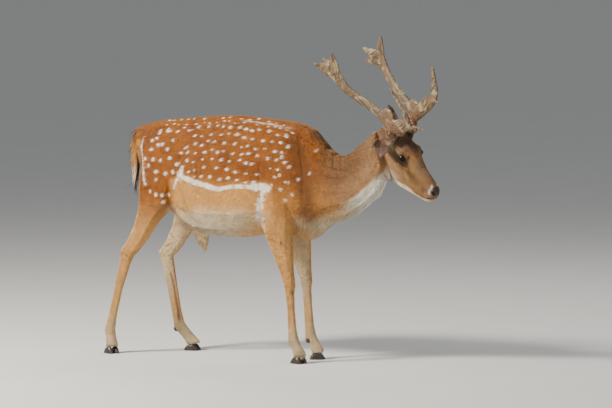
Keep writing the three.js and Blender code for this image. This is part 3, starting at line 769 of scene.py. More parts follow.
def face_markings(points, normals):
    local = to_head(points) / MM * [1, 0, 1] + np.abs(to_head(points) / MM) * [0, 1, 0]
    x, y, z = local.T
    grain = noise(points, 0.008)
    top = fade(z, -30, 0)
    colour = np.tile(0.80 * mix(TAN[None], GREY_BROWN, np.array([0.66]))[0], (len(x), 1))
    colour = mix(colour, PALE_TAN, 0.25 * fade(noise(points * [1, 1, 0.5], 0.014), 0.2, 0.9))
    bridge = (1 - fade(y, 12, 26)) * fade(z, -30, -5) * fade(x, 130, 170)
    colour = mix(colour, GREY_BROWN, 0.75 * bridge)
    # Round the eye and back over the temple the face is darker: partly its own grey-brown, partly a painted
    # shadow of the antlers and ear.
    socket = np.linalg.norm((local - [114, 44, -13]) / [50, 42, 34], axis=1)
    colour = mix(colour, DUSK_BROWN, 0.86 * (1 - fade(socket + 0.1 * grain, 0.55, 1.15)))
    temple = np.linalg.norm((local - [52, 44, -14]) / [40, 30, 34], axis=1)
    colour = mix(colour, DUSK_BROWN, 0.85 * (1 - fade(temple + 0.1 * grain, 0.5, 1.1)))
    # The crown is the buck's own dark brown cap, deepened by a painted shadow of the antlers.
    crown = (1 - fade(x + 0.6 * y, 118, 162)) * top
    colour = mix(colour, BROW_BROWN, 0.95 * crown * fade(grain, -1.6, 0.0))
    brow = distance_to_line(local, [(74, 36, 18), (104, 34, 18), (132, 24, 14), (160, 10, 12)])
    colour = mix(colour, BROW_ORANGE, 0.8 * (1 - fade(brow + 1.5 * grain, 2.0, 7)))
    tear = distance_to_line(local, [(131, 44, -2), (154, 33, -8)])
    colour = mix(colour, DUSK_BROWN, 0.9 * (1 - fade(tear, 2.5, 7)))
    under = distance_to_line(local, [(116, 46, -36), (140, 42, -34), (158, 36, -28)])
    colour = mix(colour, PALE_TAN, 0.45 * (1 - fade(under + grain, 3, 9)))
    cheek = distance_to_line(local, [(84, 38, -118), (100, 37, -111), (175, 27, -91), (206, 24, -86)])
    colour = mix(colour, NECK_BROWN, 0.75 * (1 - fade(cheek + grain, 1.5, 6)))
    lip_dark = np.exp(-(((x - 250) / 13) ** 2 + ((z + 50) / 15) ** 2)) * fade(y, 10, 16)
    colour = mix(colour, DUSK_BROWN, 0.65 * lip_dark)
    nose = x + NOSE_SLANT * z
    ring = np.exp(-(((nose - NOSE_EDGE + 4) / 3.4) ** 2)) * fade(y, 6, 10) * fade(z, -52, -42)
    colour = mix(colour, WHITE, 0.7 * ring)
    colour = mix(colour, LIP_PINK, 0.8 * fade(x, 246, 266) * (1 - fade(z, NOSE_FOOT - 4, NOSE_FOOT)))
    jaw_line = np.interp(x, [40, 100, 175, 215, 250, 285], [-140, -120, -99, -95, -84, -63])
    colour = mix(colour, CREAM, 0.92 * (1 - fade(z + 2 * grain, jaw_line - 6, jaw_line + 1)))
    pad = fade(nose + 0.8 * grain, NOSE_EDGE, NOSE_EDGE + 3) * fade(z, NOSE_FOOT - 2, NOSE_FOOT + 2)
    colour = mix(colour, NOSE_GREY, pad)
    colour = mix(colour, NOSE_BLACK, pad * (1 - fade(nostril_gap(local), 2.0, 3.6)))
    colour = mix(colour, BROW_BROWN, 0.9 * (1 - fade(mouth_gap(local), 1.8, 4.2)))
    rim = local - [119, 37, -2]
    slant = rim @ unit(np.array([0.93, 0, 0.12]))
    rise = rim @ unit(np.array([-0.12, 0, 0.93]))
    almond = np.hypot(slant / 21, rise / 14)
    return mix(colour, NOSE_BLACK, 0.95 * (1 - fade(almond, 0.85, 1.05)) * fade(y, 34, 38))

# %% [markdown]
# The legs run from tan to cream, paler inside and at the feet. The ears are dusky within and pale at the
# rim. The tail is black down its middle, and its sides turn from tan to white. Haunch and forearm are of the
# trunk above and of the leg below, so they take both, faded into each other.

# %% Markings of the legs, ears and tail
# A brown mark on the outside of each forearm and a grey one at the knee: place, size and paint.
KNEE_MARKS = ((0.052, 0.441, 0.005, CHESTNUT), (0.086, 0.262, 0.007, GREY_BROWN))


def leg_markings(points, normals):
    x, y, z = to_body(points).T
    grain = noise(points, 0.02)
    inside = fade(-np.sign(y) * normals[:, 1], 0.1, 0.6)
    colour = np.tile(LEG_TAN, (len(x), 1))
    colour = mix(colour, PALE_TAN, 0.5 * (1 - fade(z, 0.12, 0.34)) + 0.12 * grain)
    colour = mix(colour, CREAM, 0.75 * inside * fade(z, 0.12, 0.3))
    colour = mix(colour, CREAM, 0.8 * (1 - fade(z + 0.02 * grain, 0.05, 0.20)))
    colour = mix(colour, SHADOW_BROWN, 0.5 * (1 - fade(z + 0.006 * grain, 0.026, 0.036)))
    start, end, _ = parts["shank_hind_left"]
    middle_line = (start * [1, 0, 1] + (end - start) * [0.2, 0, 0.2]) + [0.006, 0, 0]
    stain_line = [tuple(middle_line), tuple(end * [1, 0, 1] + [0.008, 0, 0.01])]
    stain = distance_to_line(points * [1, 0, 1], stain_line) / 0.0035
    shown = fade(-normals[:, 1], 0.2, 0.6) * (np.abs(points[:, 1] - start[1]) < 0.04)
    colour = mix(colour, STAIN_RED, 0.75 * (1 - fade(stain + 0.5 * grain, 0.4, 1.6)) * shown)
    hind_back = fade(-normals[:, 0], 0.3, 0.8) * (1 - fade(x, -0.1, 0.0)) * (z > 0.3)
    colour = mix(colour, CREAM, 0.55 * hind_back)
    for px, pz, size, tone in KNEE_MARKS:
        for side in (RIGHT, LEFT):
            gap = np.hypot(x - px, (z - pz) * 0.6) / size
            outer = (side * normals[:, 1] > 0.3) * (side * y > 0)
            colour = mix(colour, tone, 0.7 * (1 - fade(gap, 0.6, 1.2)) * outer)
    return colour


# The way each ear's hollow faces.
EAR_FACING = {
    "right": unit(np.array([0.37, -0.42, 0.83])),
    "left": unit(np.array([0.89, 0.45, 0.0])),
}


def ear_markings(points, normals):
    colour = np.tile(GREY_BROWN, (len(points), 1))
    inner, rim = np.zeros(len(points)), np.zeros(len(points))
    for word, facing in EAR_FACING.items():
        start, end, _ = parts[f"ear_{word}"]
        near = np.linalg.norm(points - (start + end) / 2, axis=1) < 0.11
        inner = np.where(near, fade(normals @ facing, 0.1, 0.5), inner)
        rim = np.where(near, np.exp(-(((normals @ facing - 0.05) / 0.22) ** 2)), rim)
    colour = mix(colour, EAR_PINK, inner)
    colour = mix(colour, CREAM, 0.8 * rim)
    return mix(colour, CREAM, 0.4 * inner * fade(noise(points, 0.0045), 0.1, 0.6))


def tail_markings(points, normals):
    z = points[:, 2]
    colour = np.tile(BLACK_HAIR, (len(points), 1))
    colour = mix(colour, TAN, 0.9 * fade(np.abs(to_body(points)[:, 1]), 0.004, 0.009))
    side = fade(np.abs(to_body(points)[:, 1]), 0.006, 0.011)
    colour = mix(colour, WHITE, 0.95 * side * (1 - fade(z, 0.67, 0.74)))
    return mix(colour, DUSK_BROWN, 0.7 * fade(z, 0.80, 0.83))


def upper_markings(points, normals):
    """The haunch and forearm carry the trunk's markings above and the legs' below."""
    trunk = trunk_markings(points, normals, belly_shown=0.0)
    return mix(leg_markings(points, normals), trunk, fade(points[:, 2], 0.44, 0.62))

# %% [markdown]
# Every place asks all the parts it belongs to for their colour and takes the blend. The skin is painted
# with it at once, point by point, along with how wet it is at the nose.

# %% Paint the skin
MARKINGS = {"barrel": trunk_markings, "neck": neck_markings, "face": face_markings, "ear": ear_markings,
            "tail": tail_markings, "upper": upper_markings, "shank": leg_markings, "foot": leg_markings}


def coat_colour(points, normals):
    """Linear colour of the coat at each place."""
    share = membership(points)
    weights = {key: np.zeros(len(points)) for key in MARKINGS}
    for column, name in enumerate(PART_NAMES):
        weights[name.split("_")[0]] += share[:, column]
    colour = np.zeros((len(points), 3))
    for key, markings in MARKINGS.items():
        used = weights[key] > 0.004
        if used.any():
            colour[used] += markings(points[used], normals[used]) * weights[key][used][:, None]
    return colour / sum(weights.values())[:, None]


def store_colour(piece, name, values):
    attribute = piece.data.color_attributes.new(name, "FLOAT_COLOR", "POINT")
    flat = np.ones((len(values), 4), np.float32)
    flat[:, :3] = values
    attribute.data.foreach_set("color", flat.ravel())


points, normals = points_of(skin), normals_of(skin)
store_colour(skin, "coat_colour", coat_colour(points, normals))
x, _, z = (to_head(points) / MM).T
wet = fade(x + NOSE_SLANT * z, NOSE_EDGE, NOSE_EDGE + 3) * fade(z, NOSE_FOOT - 2, NOSE_FOOT)
attribute = skin.data.attributes.new("wet", "FLOAT", "POINT")
attribute.data.foreach_set("value", wet.astype(np.float32))
print("painted skin of", len(points), "points")

# %% [markdown]
# The coat lies in tufts. A tuft is a closed sliver with its root under the skin, a ridge along its back
# and a fine tip. Roots are strewn over the skin, closer together where the hair is short, and each tuft
# turns to the lie of the hair there.

# %% Measure the skin
TUFT_SHARE = 1.0
dice = np.random.default_rng(3)
mesh = skin.data
mesh.calc_loop_triangles()
corners = np.empty(len(mesh.loop_triangles) * 3, np.int32)
mesh.loop_triangles.foreach_get("vertices", corners)
corners = corners.reshape(-1, 3)
points, normals = points_of(skin), normals_of(skin)
edge_a = points[corners[:, 1]] - points[corners[:, 0]]
edge_b = points[corners[:, 2]] - points[corners[:, 0]]
areas = np.linalg.norm(np.cross(edge_a, edge_b), axis=1) / 2
centres = points[corners].mean(1)
print("skin area", areas.sum().round(3), "square metres")

# %% [markdown]
# The hair isn't the same all over. It is short on the face, longer on the neck and rump, and longest on the
# tail, with a fringe on the brisket and a tuft on the sheath. The nose, lips and lids are bare.

# %% How long the hair is, and where there is none
def sheath_share(points):
    x, y, z = to_body(points).T
    return np.exp(-((x + 0.317) / 0.04) ** 2) * (1 - fade(z, 0.445, 0.465)) * (np.abs(y) < 0.05)


def brisket_share(points, normals):
    x, y, z = to_body(points).T
    return np.exp(-(((x - 0.15) / 0.055) ** 2)) * fade(-normals[:, 2], -0.1, 0.5) * (z < 0.58)


def spine_share(points):
    return 1 - fade(np.abs(to_body(points)[:, 1]), 0.012, 0.030)


def hair(points, normals):
    """Length and width of the tufts at each place, in metres."""
    share = membership(points)
    x, y, z = to_body(points).T
    face = to_head(points) / MM
    long = by_part(share, other=10, barrel=16.5, neck=20, face=8.5, ear=8.5, tail=50, upper=13.5, foot=9)
    wide = by_part(share, other=1.5, barrel=2.0, neck=1.9, face=1.2, ear=1.4, tail=3.5, upper=1.7, foot=1.5)
    under = fade(-normals[:, 2], 0.15, 0.75)
    on_neck = by_part(share, other=0, neck=1)
    on_barrel = by_part(share, other=0, barrel=1)
    long += 20 * under * on_neck + 9 * under * on_barrel
    long += 22 * brisket_share(points, normals)
    rump = fade(-normals[:, 0], 0.3, 0.7) * (x < -0.42) * fade(z, 0.42, 0.55)
    long += 7 * rump + 16 * sheath_share(points) + 4 * on_barrel * spine_share(points)
    on_face = by_part(share, other=0, face=1)
    muzzle = fade(face[:, 0], 190, 260) * on_face
    long -= 4.0 * muzzle
    wide -= 0.5 * muzzle
    crown = on_face * np.exp(-(((face[:, 0] - 40) / 34) ** 2)) * fade(face[:, 2], -30, 10)
    long += 7 * crown
    by_eye = np.minimum(*(np.linalg.norm(points - EYES[s], axis=1) for s in (RIGHT, LEFT)))
    small = 1 - fade(by_eye, 16 * MM, 30 * MM)
    long -= 3.2 * small
    wide -= 0.5 * small
    return long * MM, wide * MM


BARE_LID = 15.6       # millimetres from the ball's middle
HOOF_RIM = 0.030      # height above the floor


def bare(points):
    """Where no hair grows: nose pad, mouth, eye openings, under the hooves' rim."""
    face = to_head(points) / MM
    none = (face[:, 0] + NOSE_SLANT * face[:, 2] > NOSE_EDGE - 1) & (face[:, 2] > NOSE_FOOT - 2)
    none |= mouth_gap(face) < 2.2
    for side in (RIGHT, LEFT):
        local = face - [eye_centre[0], side * EYE_SPREAD / MM, eye_centre[2]]
        none |= (np.linalg.norm(local, axis=1) < BARE_LID) & (side * local[:, 1] > 0)
    none |= points[:, 2] < HOOF_RIM
    return none

# %% [markdown]
# In a sharp fold of skin, as behind the jaw, hair that lies flat would run under the skin beyond the fold.
# So the folds are found, from how far each point lies below the mean of its neighbours, and the hair
# there is kept shorter and stands up.

# %% Find the folds
def hollows(points, normals, corners, passes=6):
    """How hollow the skin is at each corner: 0 on flat or rounded places, 1 in a sharp fold."""
    pairs = np.concatenate([corners[:, [0, 1]], corners[:, [1, 2]], corners[:, [2, 0]]])
    count = np.bincount(pairs.ravel(), minlength=len(points))[:, None]

    def neighbours(values):
        columns = []
        for column in values.T:
            total = np.bincount(pairs[:, 0], column[pairs[:, 1]], len(points))
            columns.append(total + np.bincount(pairs[:, 1], column[pairs[:, 0]], len(points)))
        return np.stack(columns, axis=1) / np.maximum(count, 1)

    away = neighbours(points) - points
    size = np.linalg.norm(points[pairs[:, 0]] - points[pairs[:, 1]], axis=1)
    reach = np.bincount(pairs[:, 0], size, len(points)) + np.bincount(pairs[:, 1], size, len(points))
    reach = reach[:, None] / np.maximum(count, 1)
    curve = (away * normals).sum(1, keepdims=True) / reach**2
    for _ in range(passes):
        curve = neighbours(curve)
    return fade(curve[:, 0], 4, 22)

# %% [markdown]
# Roots are thrown on the skin by chance, twice as many as are needed. One is then kept in each cell of a
# fine grid, which leaves them evenly spaced, closer where the tufts are small.

# %% Throw the roots
OVERLAP = 4.3
long, wide = hair(centres, normals[corners].mean(1))
density = OVERLAP / (long * wide)
wanted = areas * density * TUFT_SHARE
print("tufts wanted", int(wanted.sum()))
OVERSAMPLE = 2
count = int(wanted.sum() * OVERSAMPLE)
chosen = dice.choice(len(corners), size=count, p=wanted / wanted.sum())
a, b = dice.random((2, count))
flip = a + b > 1
a, b = np.where(flip, 1 - a, a), np.where(flip, 1 - b, b)
weights = np.stack([1 - a - b, a, b], axis=1)[:, :, None]
roots = (points[corners[chosen]] * weights).sum(1)
root_normals = unit((normals[corners[chosen]] * weights).sum(1))
# Thinning: one root per cell of a grid about as wide as the spacing, so that none crowd together.
spacing = 0.95 / np.sqrt(density[chosen] * TUFT_SHARE)
level = np.round(np.log2(spacing / MM) * 2).astype(int)
cell = np.floor(roots / (2 ** (level / 2) * MM)[:, None]).astype(np.int64)
key = ((cell[:, 0] * 4001 + cell[:, 1]) * 4001 + cell[:, 2]) * 64 + level
_, first = np.unique(key, return_index=True)
first = first[~bare(roots[first])]
roots, root_normals = roots[first], root_normals[first]

# In a fold of the skin the hair is pushed up, or it would run under the skin beyond.
corner_hollow = hollows(points, normals, corners)[corners[chosen[first]]]
hollow = (corner_hollow * weights[first][:, :, 0]).sum(1)
print("roots", len(roots), "in folds", int((hollow > 0.5).sum()))

# %% [markdown]
# Hair lies from the nose back and from the body down, and turns down the flank, chest and rump. Combing
# it by hand would take a map, so the direction comes from each part's own line, bent by a few rules and
# a little noise, and then laid flat along the skin.

# %% The lie of the hair
def lie(points, normals):
    """The way the hair points at each place, along the skin."""
    share = membership(points)
    x, y, z = to_body(points).T
    flow = np.zeros((len(points), 3))
    for column, (start, end, _) in enumerate(parts.values()):
        flow += share[:, column, None] * unit(end - start)
    on_barrel = by_part(share, other=0, barrel=1)
    on_neck = by_part(share, other=0, neck=1)
    on_upper = by_part(share, other=0, upper=1)
    side = fade(np.abs(normals[:, 1]), 0.3, 0.9)
    flow[:, 2] -= 0.38 * side * on_barrel + 0.45 * side * on_neck
    flow[:, 2] -= 0.9 * fade(-normals[:, 0], 0.2, 0.7) * on_barrel
    flow[:, 2] -= 0.5 * fade(x, 0.08, 0.18) * on_barrel
    flow[:, 0] -= 0.25 * on_upper
    flow[:, 2] -= 2.5 * sheath_share(points) + 1.6 * brisket_share(points, normals)
    flow += 0.16 * np.stack([noise(points + shift, 0.03) for shift in (3, 7, 11)], axis=1)
    flow -= (flow * normals).sum(1, keepdims=True) * normals
    return unit(flow)


flow = lie(roots, root_normals)
long, wide = hair(roots, root_normals)
long *= (0.8 + 0.4 * dice.random(len(roots))) * (1 - 0.35 * hollow)
wide *= 0.75 + 0.5 * dice.random(len(roots))
colours = coat_colour(roots, root_normals)
shade = 1 + 0.24 * (dice.random(len(roots)) - 0.5) + 0.15 * noise(roots, 0.011) + 0.12 * noise(roots, 0.035)
colours = colours * shade[:, None]

# %% [markdown]
# The tufts of one part are one mesh. Its map, OFBake, gives each tuft a small patch at its root's place
# on an unrolling of that part: along the part one way, round it the other.

# %% Build tufts
PATCH = 0.003
MOST_TUFTS = 31000


def unrolled(points, start, end):
    """A part unrolled: place along it and angle round it, both from 0 to 1."""
    line = end - start
    along = (points - start) @ line / (line @ line)
    across = unit(np.cross(line, [0.0, 1.0, 0.02]))
    third = np.cross(unit(line), across)
    off = points - start - along[:, None] * line
    angle = np.arctan2(off @ third, off @ across) / (2 * math.pi) + 0.5
    span = max(np.ptp(along), 1e-6)
    return np.stack([(along - along.min()) / span, angle], axis=1) * (1 - 4 * PATCH) + 2 * PATCH


# Each tuft is painted darker at its root, as painted shade where it sinks among the others, and lighter
# toward its tip.
TIP_SHADE, ROOT_SHADE = 1.10, 0.88


def build_tufts(name, roots, normals, flow, long, wide, colour, places, rings=(0.42,), lift=0.0, droop=0.0):
    """One closed sliver per root, with a three-cornered section at each ring."""
    n = len(roots)
    side = np.cross(normals, flow)
    lift = np.broadcast_to(lift, n)[:, None]
    droop = np.broadcast_to(droop, n)[:, None]
    long, wide = long[:, None], wide[:, None]

    def path(t):
        rise = normals * (lift * long * t + 0.0008 * math.sin(math.pi * t))
        return roots + flow * long * t + rise + DOWN * droop * long * t * t

    rows = [(roots - normals * 0.0016 - flow * long * 0.08)[:, None]]
    for t in rings:
        centre = path(t)
        half = wide * 0.5 * min(1.0, 1.45 * (1 - t) ** 0.7)
        ridge = centre + normals * half * 0.55
        rows.append(np.stack([centre - side * half, centre + side * half, ridge], 1))
    rows.append(path(1.0)[:, None])
    corners = np.concatenate(rows, axis=1)
    per = corners.shape[1]
    faces = [(0, 1, 3), (0, 3, 2), (0, 2, 1)]
    for r in range(len(rings) - 1):
        p, q = 1 + 3 * r, 4 + 3 * r
        for i, j in ((0, 2), (2, 1), (1, 0)):
            faces += [(p + i, q + i, q + j), (p + i, q + j, p + j)]
    last, tip = 1 + 3 * (len(rings) - 1), per - 1
    faces += [(tip, last + 2, last), (tip, last + 1, last + 2), (tip, last, last + 1)]
    faces = np.array(faces)
    index = (np.arange(n)[:, None, None] * per + faces[None]).reshape(-1)
    mesh = bpy.data.meshes.new(name)
    mesh.vertices.add(n * per)
    mesh.vertices.foreach_set("co", corners.astype(np.float32).ravel())
    mesh.loops.add(len(index))
    mesh.loops.foreach_set("vertex_index", index.astype(np.int32))
    mesh.polygons.add(len(index) // 3)
    mesh.polygons.foreach_set("loop_start", np.arange(0, len(index), 3, dtype=np.int32))
    mesh.polygons.foreach_set("use_smooth", np.ones(len(index) // 3, bool))
    mesh.update(calc_edges=True)
    piece = bpy.data.objects.new(name, mesh)
    bpy.context.scene.collection.objects.link(piece)
    # Painted shade darkens each tuft's root; its tip is lighter.
    tones = np.array([ROOT_SHADE] + [1.0] * (3 * len(rings)) + [TIP_SHADE])
    tinted = (colour[:, None, :] * tones[None, :, None]).reshape(-1, 3)
    store_colour(piece, "coat_colour", tinted)
    patch = np.array([[0, -0.5]] + [[-0.5, 0], [0.5, 0], [0, 0.1]] * len(rings) + [[0, 0.5]]) * PATCH
    uv = (places[:, None, :] + patch[None]).reshape(-1, 2)[index]
    layer = mesh.uv_layers.new(name="OFBake")
    layer.data.foreach_set("uv", uv.astype(np.float32).ravel())
    return piece

# %% [markdown]
# Tufts are gathered by body part, and a large part is shared out over several meshes so that none grows
# too heavy. Hair stands up a little under the belly, along the spine, on the brisket and in folds.

# %% Lay the coat
share = membership(roots)
owner = share.argmax(1)
group_of = {}
for i, name in enumerate(PART_NAMES):
    kind = name.split("_")[0]
    group_of[i] = {"upper": "legs", "shank": "legs", "foot": "legs", "ear": "ears"}.get(kind, kind)
groups = np.array([group_of[i] for i in range(len(PART_NAMES))])[owner]
coats = []
for group in sorted(set(groups)):
    if group == "tail":
        continue
    mine = np.flatnonzero(groups == group)
    order = mine[np.argsort(roots[mine, 0])]
    pieces = max(1, math.ceil(len(order) / MOST_TUFTS))
    for number, some in enumerate(np.array_split(order, pieces)):
        places = np.zeros((len(some), 2))
        owners = np.unique(owner[some])
        for slot, part in enumerate(owners):
            inside = owner[some] == part
            start, end, _ = parts[PART_NAMES[part]]
            flat = unrolled(roots[some][inside], start, end)
            places[inside] = np.stack([flat[:, 0], (slot + flat[:, 1]) / len(owners)], axis=1)
        stand = 0.03 + 0.10 * fade(-root_normals[some, 2], 0.2, 0.8) + 0.30 * hollow[some]
        stand += 0.10 * spine_share(roots[some]) * (root_normals[some, 2] > 0.6)
        stand += 0.20 * brisket_share(roots[some], root_normals[some])
        piece = build_tufts(f"coat_{group}_{number + 1}", roots[some], root_normals[some], flow[some],
                            long[some], wide[some], colours[some], places, lift=stand)
        coats.append(piece)
        print(piece.name, len(some), "tufts", len(piece.data.polygons), "triangles")

# %% [markdown]
# An antler is one bone: beam, brow tine and palm have no joint between them. Its solids are fused like
# the flesh. The grooves are left by blood vessels and run along each branch, so the noise that cuts them
# is stretched along the branch's line. Near the burr at the base the bone is covered in small pearls.

# %% Antlers
ANTLER_VOXEL = 1.9 * MM
BRANCH_DIRECTIONS = ([-1, 0, 0.1], [0.4, 0, 1], [-0.5, 0, 0.6])
BURR = [44, 45, 38]
BRANCH_BLEND = 0.012
ALONG_GRAIN = 0.90


def make_antler(word):
    side = RIGHT if word == "right" else LEFT
    nodes = [f"antler_{part}_{word}" for part in ("beam", "brow_tine", "palm")]
    antler = fused(nodes, f"antler_{word}", ANTLER_VOXEL)
    apply_modifier(antler, "SMOOTH", factor=0.5, iterations=26)
    points, normals = points_of(antler), normals_of(antler)
    gaps, axes = [], []
    for node, direction in zip(nodes, BRANCH_DIRECTIONS):
        start, end = ends(node, HEAD @ np.array(direction, float))
        line = end - start
        t = np.clip((points - start) @ line / (line @ line), 0, 1)
        gaps.append(np.linalg.norm(points - start - t[:, None] * line, axis=1))
        axes.append(unit(line))
    pull = np.exp(-np.array(gaps) / BRANCH_BLEND).T
    axis = unit(pull @ np.array(axes))
    along = (points * axis).sum(1, keepdims=True)
    stretched = points - axis * along * ALONG_GRAIN
    groove = noise(stretched, 0.0042)
    fine = noise(stretched + 5, 0.0021)
    head = to_head(points) / MM
    from_burr = np.linalg.norm(head - [BURR[0], side * BURR[1], BURR[2]], axis=1)
    pearls = np.maximum(noise(points, 0.0045), 0) * (1 - fade(from_burr, 30, 95))
    relief = -1.4 * fade(groove, 0.05, 0.65) - 0.6 * fade(fine, 0.1, 0.8) + 2.4 * pearls
    relief += 1.3 * noise(points, 0.03)
    points = points + normals * (relief * MM)[:, None]
    set_points(antler, points)
    bone = np.tile(paint(120, 104, 84), (len(points), 1))
    bone = mix(bone, paint(128, 106, 84), 0.7 * fade(noise(points, 0.045), -0.3, 0.5))
    bone = mix(bone, paint(204, 186, 156), 0.6 * fade(noise(points + 9, 0.02), 0.1, 0.7))
    stain = (1 - fade(from_burr, 30, 120)) * fade(noise(points, 0.012), -0.6, 0.4)
    bone = mix(bone, paint(118, 66, 46), 0.75 * stain)
    in_groove = np.maximum(fade(groove, 0.0, 0.5), 0.6 * fade(fine, 0.2, 0.8))
    bone = mix(bone, paint(70, 54, 42), 0.85 * in_groove)
    bone = mix(bone, paint(204, 184, 154), 0.7 * fade(pearls, 0.3, 0.7))
    store_colour(antler, "bone_colour", bone)
    smooth_shaded(antler)
    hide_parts(*nodes)
    print(antler.name, len(antler.data.polygons), "faces")
    return antler


antlers = [make_antler(word) for word in ("right", "left")]

# %% [markdown]
# Each foot has two claws to stand on and two small dewclaws behind the fetlock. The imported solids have
# their shape already, so they are only rounded by a fine remesh, and their soles are laid flat at the
# floor's level.

# %% Hooves
HOOF_VOXEL = 1.3 * MM
DEWCLAW_OUT = 2.0 * MM
SOLE = 1.6 * MM
skin_tree = BVHTree.FromPolygons(points_of(skin).tolist(), corners.tolist())


def make_hooves(name):
    nodes = [f"{kind}_{place}_{name}" for kind in ("claw", "dewclaw") for place in ("outer", "inner")]
    hoof = joined_copy(nodes, f"hooves_{name}")
    apply_modifier(hoof, "REMESH", mode="VOXEL", voxel_size=HOOF_VOXEL)
    apply_modifier(hoof, "SMOOTH", factor=0.5, iterations=6)
    points = points_of(hoof)
    # The dewclaws sit in the hair of the fetlock, so each is drawn in against the skin.
    for place in ("outer", "inner"):
        low, high = (np.array(v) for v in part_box(f"dewclaw_{place}_{name}"))
        inside = ((points > low - MM) & (points < high + MM)).all(axis=1)
        centre = points[inside].mean(0)
        nearest, _, _, gap = skin_tree.find_nearest(Vector(centre))
        points[inside] += (np.array(nearest) - centre) * max(0, 1 - DEWCLAW_OUT / gap)
    points[:, 2] = np.where(points[:, 2] < SOLE, 0, points[:, 2])
    set_points(hoof, points)
    smooth_shaded(hoof)
    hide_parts(*nodes)
    return hoof


hooves = [make_hooves(name) for name in NAMES]
print([len(h.data.polygons) for h in hooves], "faces in the hooves")

# %% [markdown]
# A deer's eye is almost all dark iris, with a level oval pupil and a clear bulge, the cornea, in front. A
# ball alone would glint wrongly, so the part that faces out is raised. Iris and pupil are painted on it.

# %% Eyes
CORNEA_EDGE, CORNEA_TOP = 0.78, 0.97
CORNEA_RISE = 1.3 * MM
PUPIL_LONG, PUPIL_HIGH = 0.42, 0.24


def make_eye(word, side):
    centre = EYES[side]
    bpy.ops.object.select_all(action="DESELECT")
    bpy.ops.mesh.primitive_uv_sphere_add(segments=64, ring_count=40, radius=EYE_BALL, location=centre)
    eye = bpy.context.view_layer.objects.active
    eye.name = eye.data.name = f"eyeball_{word}"
    bpy.ops.object.transform_apply(location=True, rotation=True, scale=True)
    out = HEAD @ unit(np.array([0.34, side * 0.93, 0.06]))
    level = HEAD @ unit(np.array([0.93, -side * 0.34, -0.3]))
    level = unit(level - (level @ out) * out)
    upright = np.cross(level, out)
    points = points_of(eye)
    ray = unit(points - centre)
    facing = ray @ out
    points += ray * (CORNEA_RISE * fade(facing, CORNEA_EDGE, CORNEA_TOP))[:, None]
    set_points(eye, points)
    from_axis = np.hypot(ray @ level, ray @ upright)
    pupil = np.hypot((ray @ level) / PUPIL_LONG, (ray @ upright) / PUPIL_HIGH)
    colour = np.tile(paint(58, 42, 34), (len(points), 1))
    colour = mix(colour, paint(44, 25, 15), (1 - fade(from_axis, 0.80, 0.88)) * (facing > 0))
    colour = mix(colour, paint(6, 5, 6), (1 - fade(pupil, 0.85, 1.15)) * (facing > 0))
    store_colour(eye, "eye_colour", colour)
    smooth_shaded(eye)
    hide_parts(f"eye_{word}")
    return eye


eyes = [make_eye("right", RIGHT), make_eye("left", LEFT)]
print([eye.name for eye in eyes])

# %% [markdown]
# The tail's hair is the longest on the body and hangs. Its tufts take one more ring than the others, so
# that they can bend down under their own weight.

# %% Tail
some = np.flatnonzero(groups == "tail")
start, end, _ = parts["tail"]
places = unrolled(roots[some], start, end)
tail_colours = tail_markings(roots[some], root_normals[some]) * shade[some, None]
tail_coat = build_tufts("coat_tail", roots[some], root_normals[some], flow[some], long[some], wide[some],
                        tail_colours, places, rings=(0.25, 0.6), lift=0.05, droop=0.1)
coats.append(tail_coat)
print(tail_coat.name, len(some), "tufts")

# %% [markdown]
# All the finishes are built from nodes, and share a few helpers: a noise texture in object coordinates, a
# colour read from the mesh, a light mottling of it, and a bump.

# %% Material helpers
def new_material(name):
    material = bpy.data.materials.new(name)
    material.use_nodes = True
    nodes = material.node_tree.nodes
    return material, nodes, material.node_tree.links, nodes["Principled BSDF"]


def noise_texture(nodes, links, scale, detail=4, coordinates=None):
    texture = nodes.new("ShaderNodeTexNoise")
    texture.inputs["Scale"].default_value = scale
    texture.inputs["Detail"].default_value = detail
    if coordinates is None:
        coordinates = nodes.new("ShaderNodeTexCoord").outputs["Object"]
    links.new(coordinates, texture.inputs["Vector"])
    return texture


def attribute_node(nodes, name):
    node = nodes.new("ShaderNodeAttribute")
    node.attribute_name = name
    return node


def mapped(nodes, links, value, start, end, low, high):
    """A value that runs from start to end, turned to run from low to high."""
    node = nodes.new("ShaderNodeMapRange")
    for key, number in zip(("From Min", "From Max", "To Min", "To Max"), (start, end, low, high)):
        node.inputs[key].default_value = number
    links.new(value, node.inputs["Value"])
    return node.outputs["Result"]


def mottle(nodes, links, colour, scale, low, high):
    """The colour lightened and darkened a little by noise."""
    fac = noise_texture(nodes, links, scale).outputs["Fac"]
    spread = mapped(nodes, links, fac, 0.3, 0.7, low, high)
    scaled = nodes.new("ShaderNodeVectorMath")
    scaled.operation = "SCALE"
    links.new(colour, scaled.inputs[0])
    links.new(spread, scaled.inputs["Scale"])
    return scaled.outputs["Vector"]


def add_bump(nodes, links, shader, height, strength, distance):
    node = nodes.new("ShaderNodeBump")
    node.inputs["Strength"].default_value = strength
    node.inputs["Distance"].default_value = distance
    links.new(height, node.inputs["Height"])
    links.new(node.outputs["Normal"], shader.inputs["Normal"])

# %% [markdown]
# Hair is half matt, with a faint sheen where many fine tips catch the light. The skin below carries the
# same colour and a fine grain, so that it reads as short coat where it shows between tufts, and it turns
# wet and smooth on the nose.

# %% Hair and skin
def hair_material():
    material, nodes, links, shader = new_material("coat_hair")
    colour = attribute_node(nodes, "coat_colour").outputs["Color"]
    links.new(mottle(nodes, links, colour, 420, 0.88, 1.12), shader.inputs["Base Color"])
    shader.inputs["Roughness"].default_value = 0.62
    shader.inputs["Specular IOR Level"].default_value = 0.28
    shader.inputs["Sheen Weight"].default_value = 0.05
    shader.inputs["Sheen Roughness"].default_value = 0.5
    return material


DRY_ROUGHNESS, WET_ROUGHNESS = 0.75, 0.32


